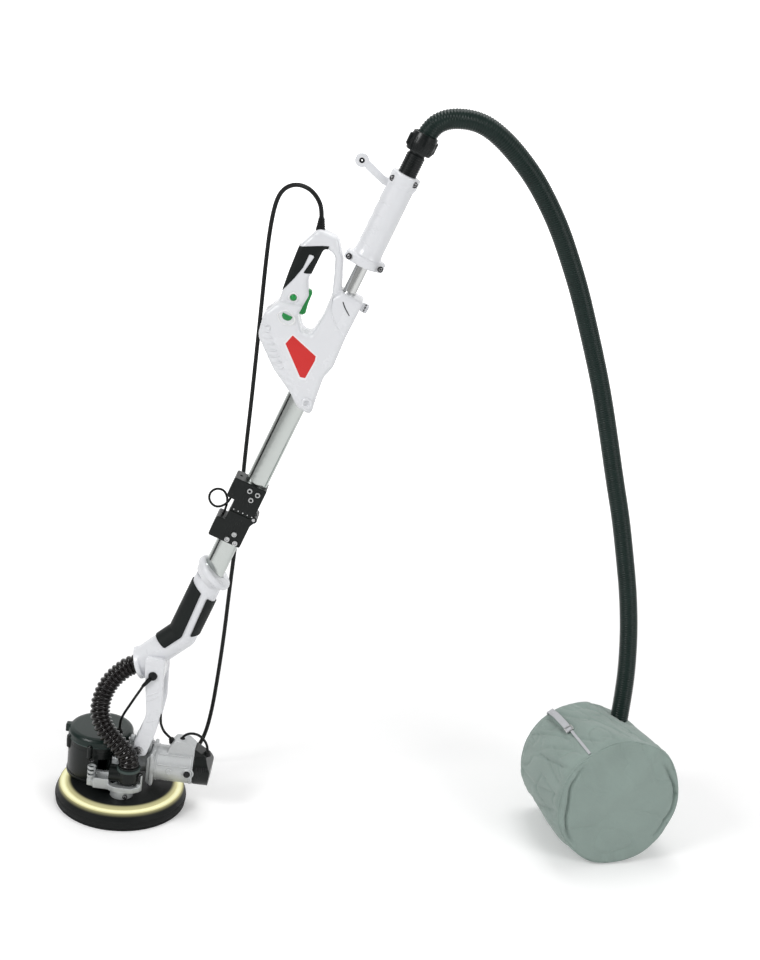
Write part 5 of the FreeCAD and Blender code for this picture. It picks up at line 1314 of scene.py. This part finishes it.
for name, side, node in (("rear_grip_near_half", -1, "rear_grip_near"),
        ("rear_grip_far_half", 1, "rear_grip_far")):
    work = bmesh.new()
    work.from_mesh(whole_grip.data)
    bmesh.ops.bisect_plane(work, geom=work.verts[:] + work.edges[:] + work.faces[:],
        plane_co=(0, side * 0.0002, 0), plane_no=(0, side, 0), clear_inner=True)
    half = fresh(name, [], [], white_plastic)
    work.to_mesh(half.data)
    work.free()
    half.data.polygons.foreach_set("use_smooth", [True] * len(half.data.polygons))
    sharpen(half, 50)
    half.data.transform(pole_place)
    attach(half, "extension")
    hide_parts(node)
bpy.data.objects.remove(whole_grip)
cast_copy("strap_arm", "hook_arm", 0.0009, 4, white_plastic, "extension")
rear_heads = []
for x, z, reach in ((-29, 1173, 35.5), (30, 1176, 35.5), (19, 1331, 26.2), (-20, 1325, 26.2)):
    depth = math.sqrt(reach ** 2 - x ** 2)
    rear_heads.append(screw_head(millimetres(x, -depth - 1.6, z), (0.25 * (1 if x > 0 else -1), -1, 0),
        0.0036, z))
rear_heads.append(lathe("eye_liner", [(0.0016, -0.0044), (0.0040, -0.0050), (0.0046, -0.0050),
    (0.0041, -0.0046), (0.0041, 0.0046), (0.0046, 0.0050), (0.0040, 0.0050), (0.0016, 0.0044),
    (0.0016, -0.0044)], black_plastic, facing(millimetres(-79, 0, 1327), (0, -1, 0)), 32))
rear_heads = joined("rear_grip_screws", rear_heads)
rear_heads.data.transform(pole_place)
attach(rear_heads, "extension")
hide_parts("rear_screws")

# ------------------------------------------------------------------ hose spigot and turning nut
# A black ribbed spigot ends the rod, and a winged nut on it holds the vacuum hose.

spigot_rings = [(0.0125, 1.3390), (0.0165, 1.3390)]
for step in range(8):
    level = 1.3402 + 0.0044 * step
    spigot_rings += [(0.0165, level), (0.0165, level + 0.0028), (0.0152, level + 0.0032),
        (0.0152, level + 0.0041)]
spigot_rings += [(0.0140, 1.3770), (0.0140, 1.3860), (0.0125, 1.3860), (0.0125, 1.3390)]
hose_black = plastic("hose_fitting", (0.008, 0.010, 0.010), 0.28, 0.0007, 0.00003, 0.3, 0.06)
spigot = lathe("ribbed_spigot", spigot_rings, hose_black, pole_place, 64)
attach(spigot, "extension")
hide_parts("hose_spigot")
nut_parts = [lathe("nut", [(0.0141, 1.3800), (0.0215, 1.3800), (0.0225, 1.3812), (0.0228, 1.3830),
    (0.0240, 1.3940), (0.0240, 1.3960), (0.0228, 1.4080), (0.0220, 1.4130), (0.0195, 1.4140),
    (0.0195, 1.3890), (0.0141, 1.3890), (0.0141, 1.3800)], hose_black, None, 72)]
for k in range(24):
    angle = 2 * math.pi * k / 24
    nut_parts.append(ridge("rib", [(23.0 * math.cos(angle), 23.0 * math.sin(angle), 1384),
        (23.9 * math.cos(angle), 23.9 * math.sin(angle), 1394), (23.0 * math.cos(angle),
        23.0 * math.sin(angle), 1406)], 0.0018, hose_black))
for degrees in (20, 200):
    wing = prism("wing", [(21, 1385, 2), (27.5, 1386, 3), (27.5, 1407, 3), (21, 1408, 2)], -0.003, 0.003,
        hose_black)
    pillowed(wing, [outline([(21, 1385, 2), (27.5, 1386, 3), (27.5, 1407, 3), (21, 1408, 2)])], 0.003,
        0.0022, 0.0007)
    wing.data.transform(Matrix.Rotation(math.radians(degrees), 4, "Z"))
    nut_parts.append(wing)
hose_nut = joined("winged_nut", nut_parts)
hose_nut.data.transform(pole_place)
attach(hose_nut, "hose_nut")
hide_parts("hose_nut")

# ------------------------------------------------------------------ works inside the mouldings
# Bearings, gears, windings, brushes, fan and switch: bought-in metal and plastic pieces that
# the castings and mouldings close round.

gear_steel = metal("gear_steel", (0.42, 0.42, 0.43), 0.34, (0.001, 0.001, 0.001), 0.2)
winding = metal("winding_copper", (0.72, 0.3, 0.14), 0.3, (0.0004, 0.004, 0.0004), 0.25)
carbon = rubber("brush_carbon", (0.02, 0.02, 0.022), 0.6)
dressed(gear_steel, "spindle", "bevel_gear", "bearings", "armature")
dressed(winding, "field_core")
dressed(carbon, "motor_brushes")
dressed(black_plastic, "blower_motor", "blower_fan", "tube_bush", "switch_module")
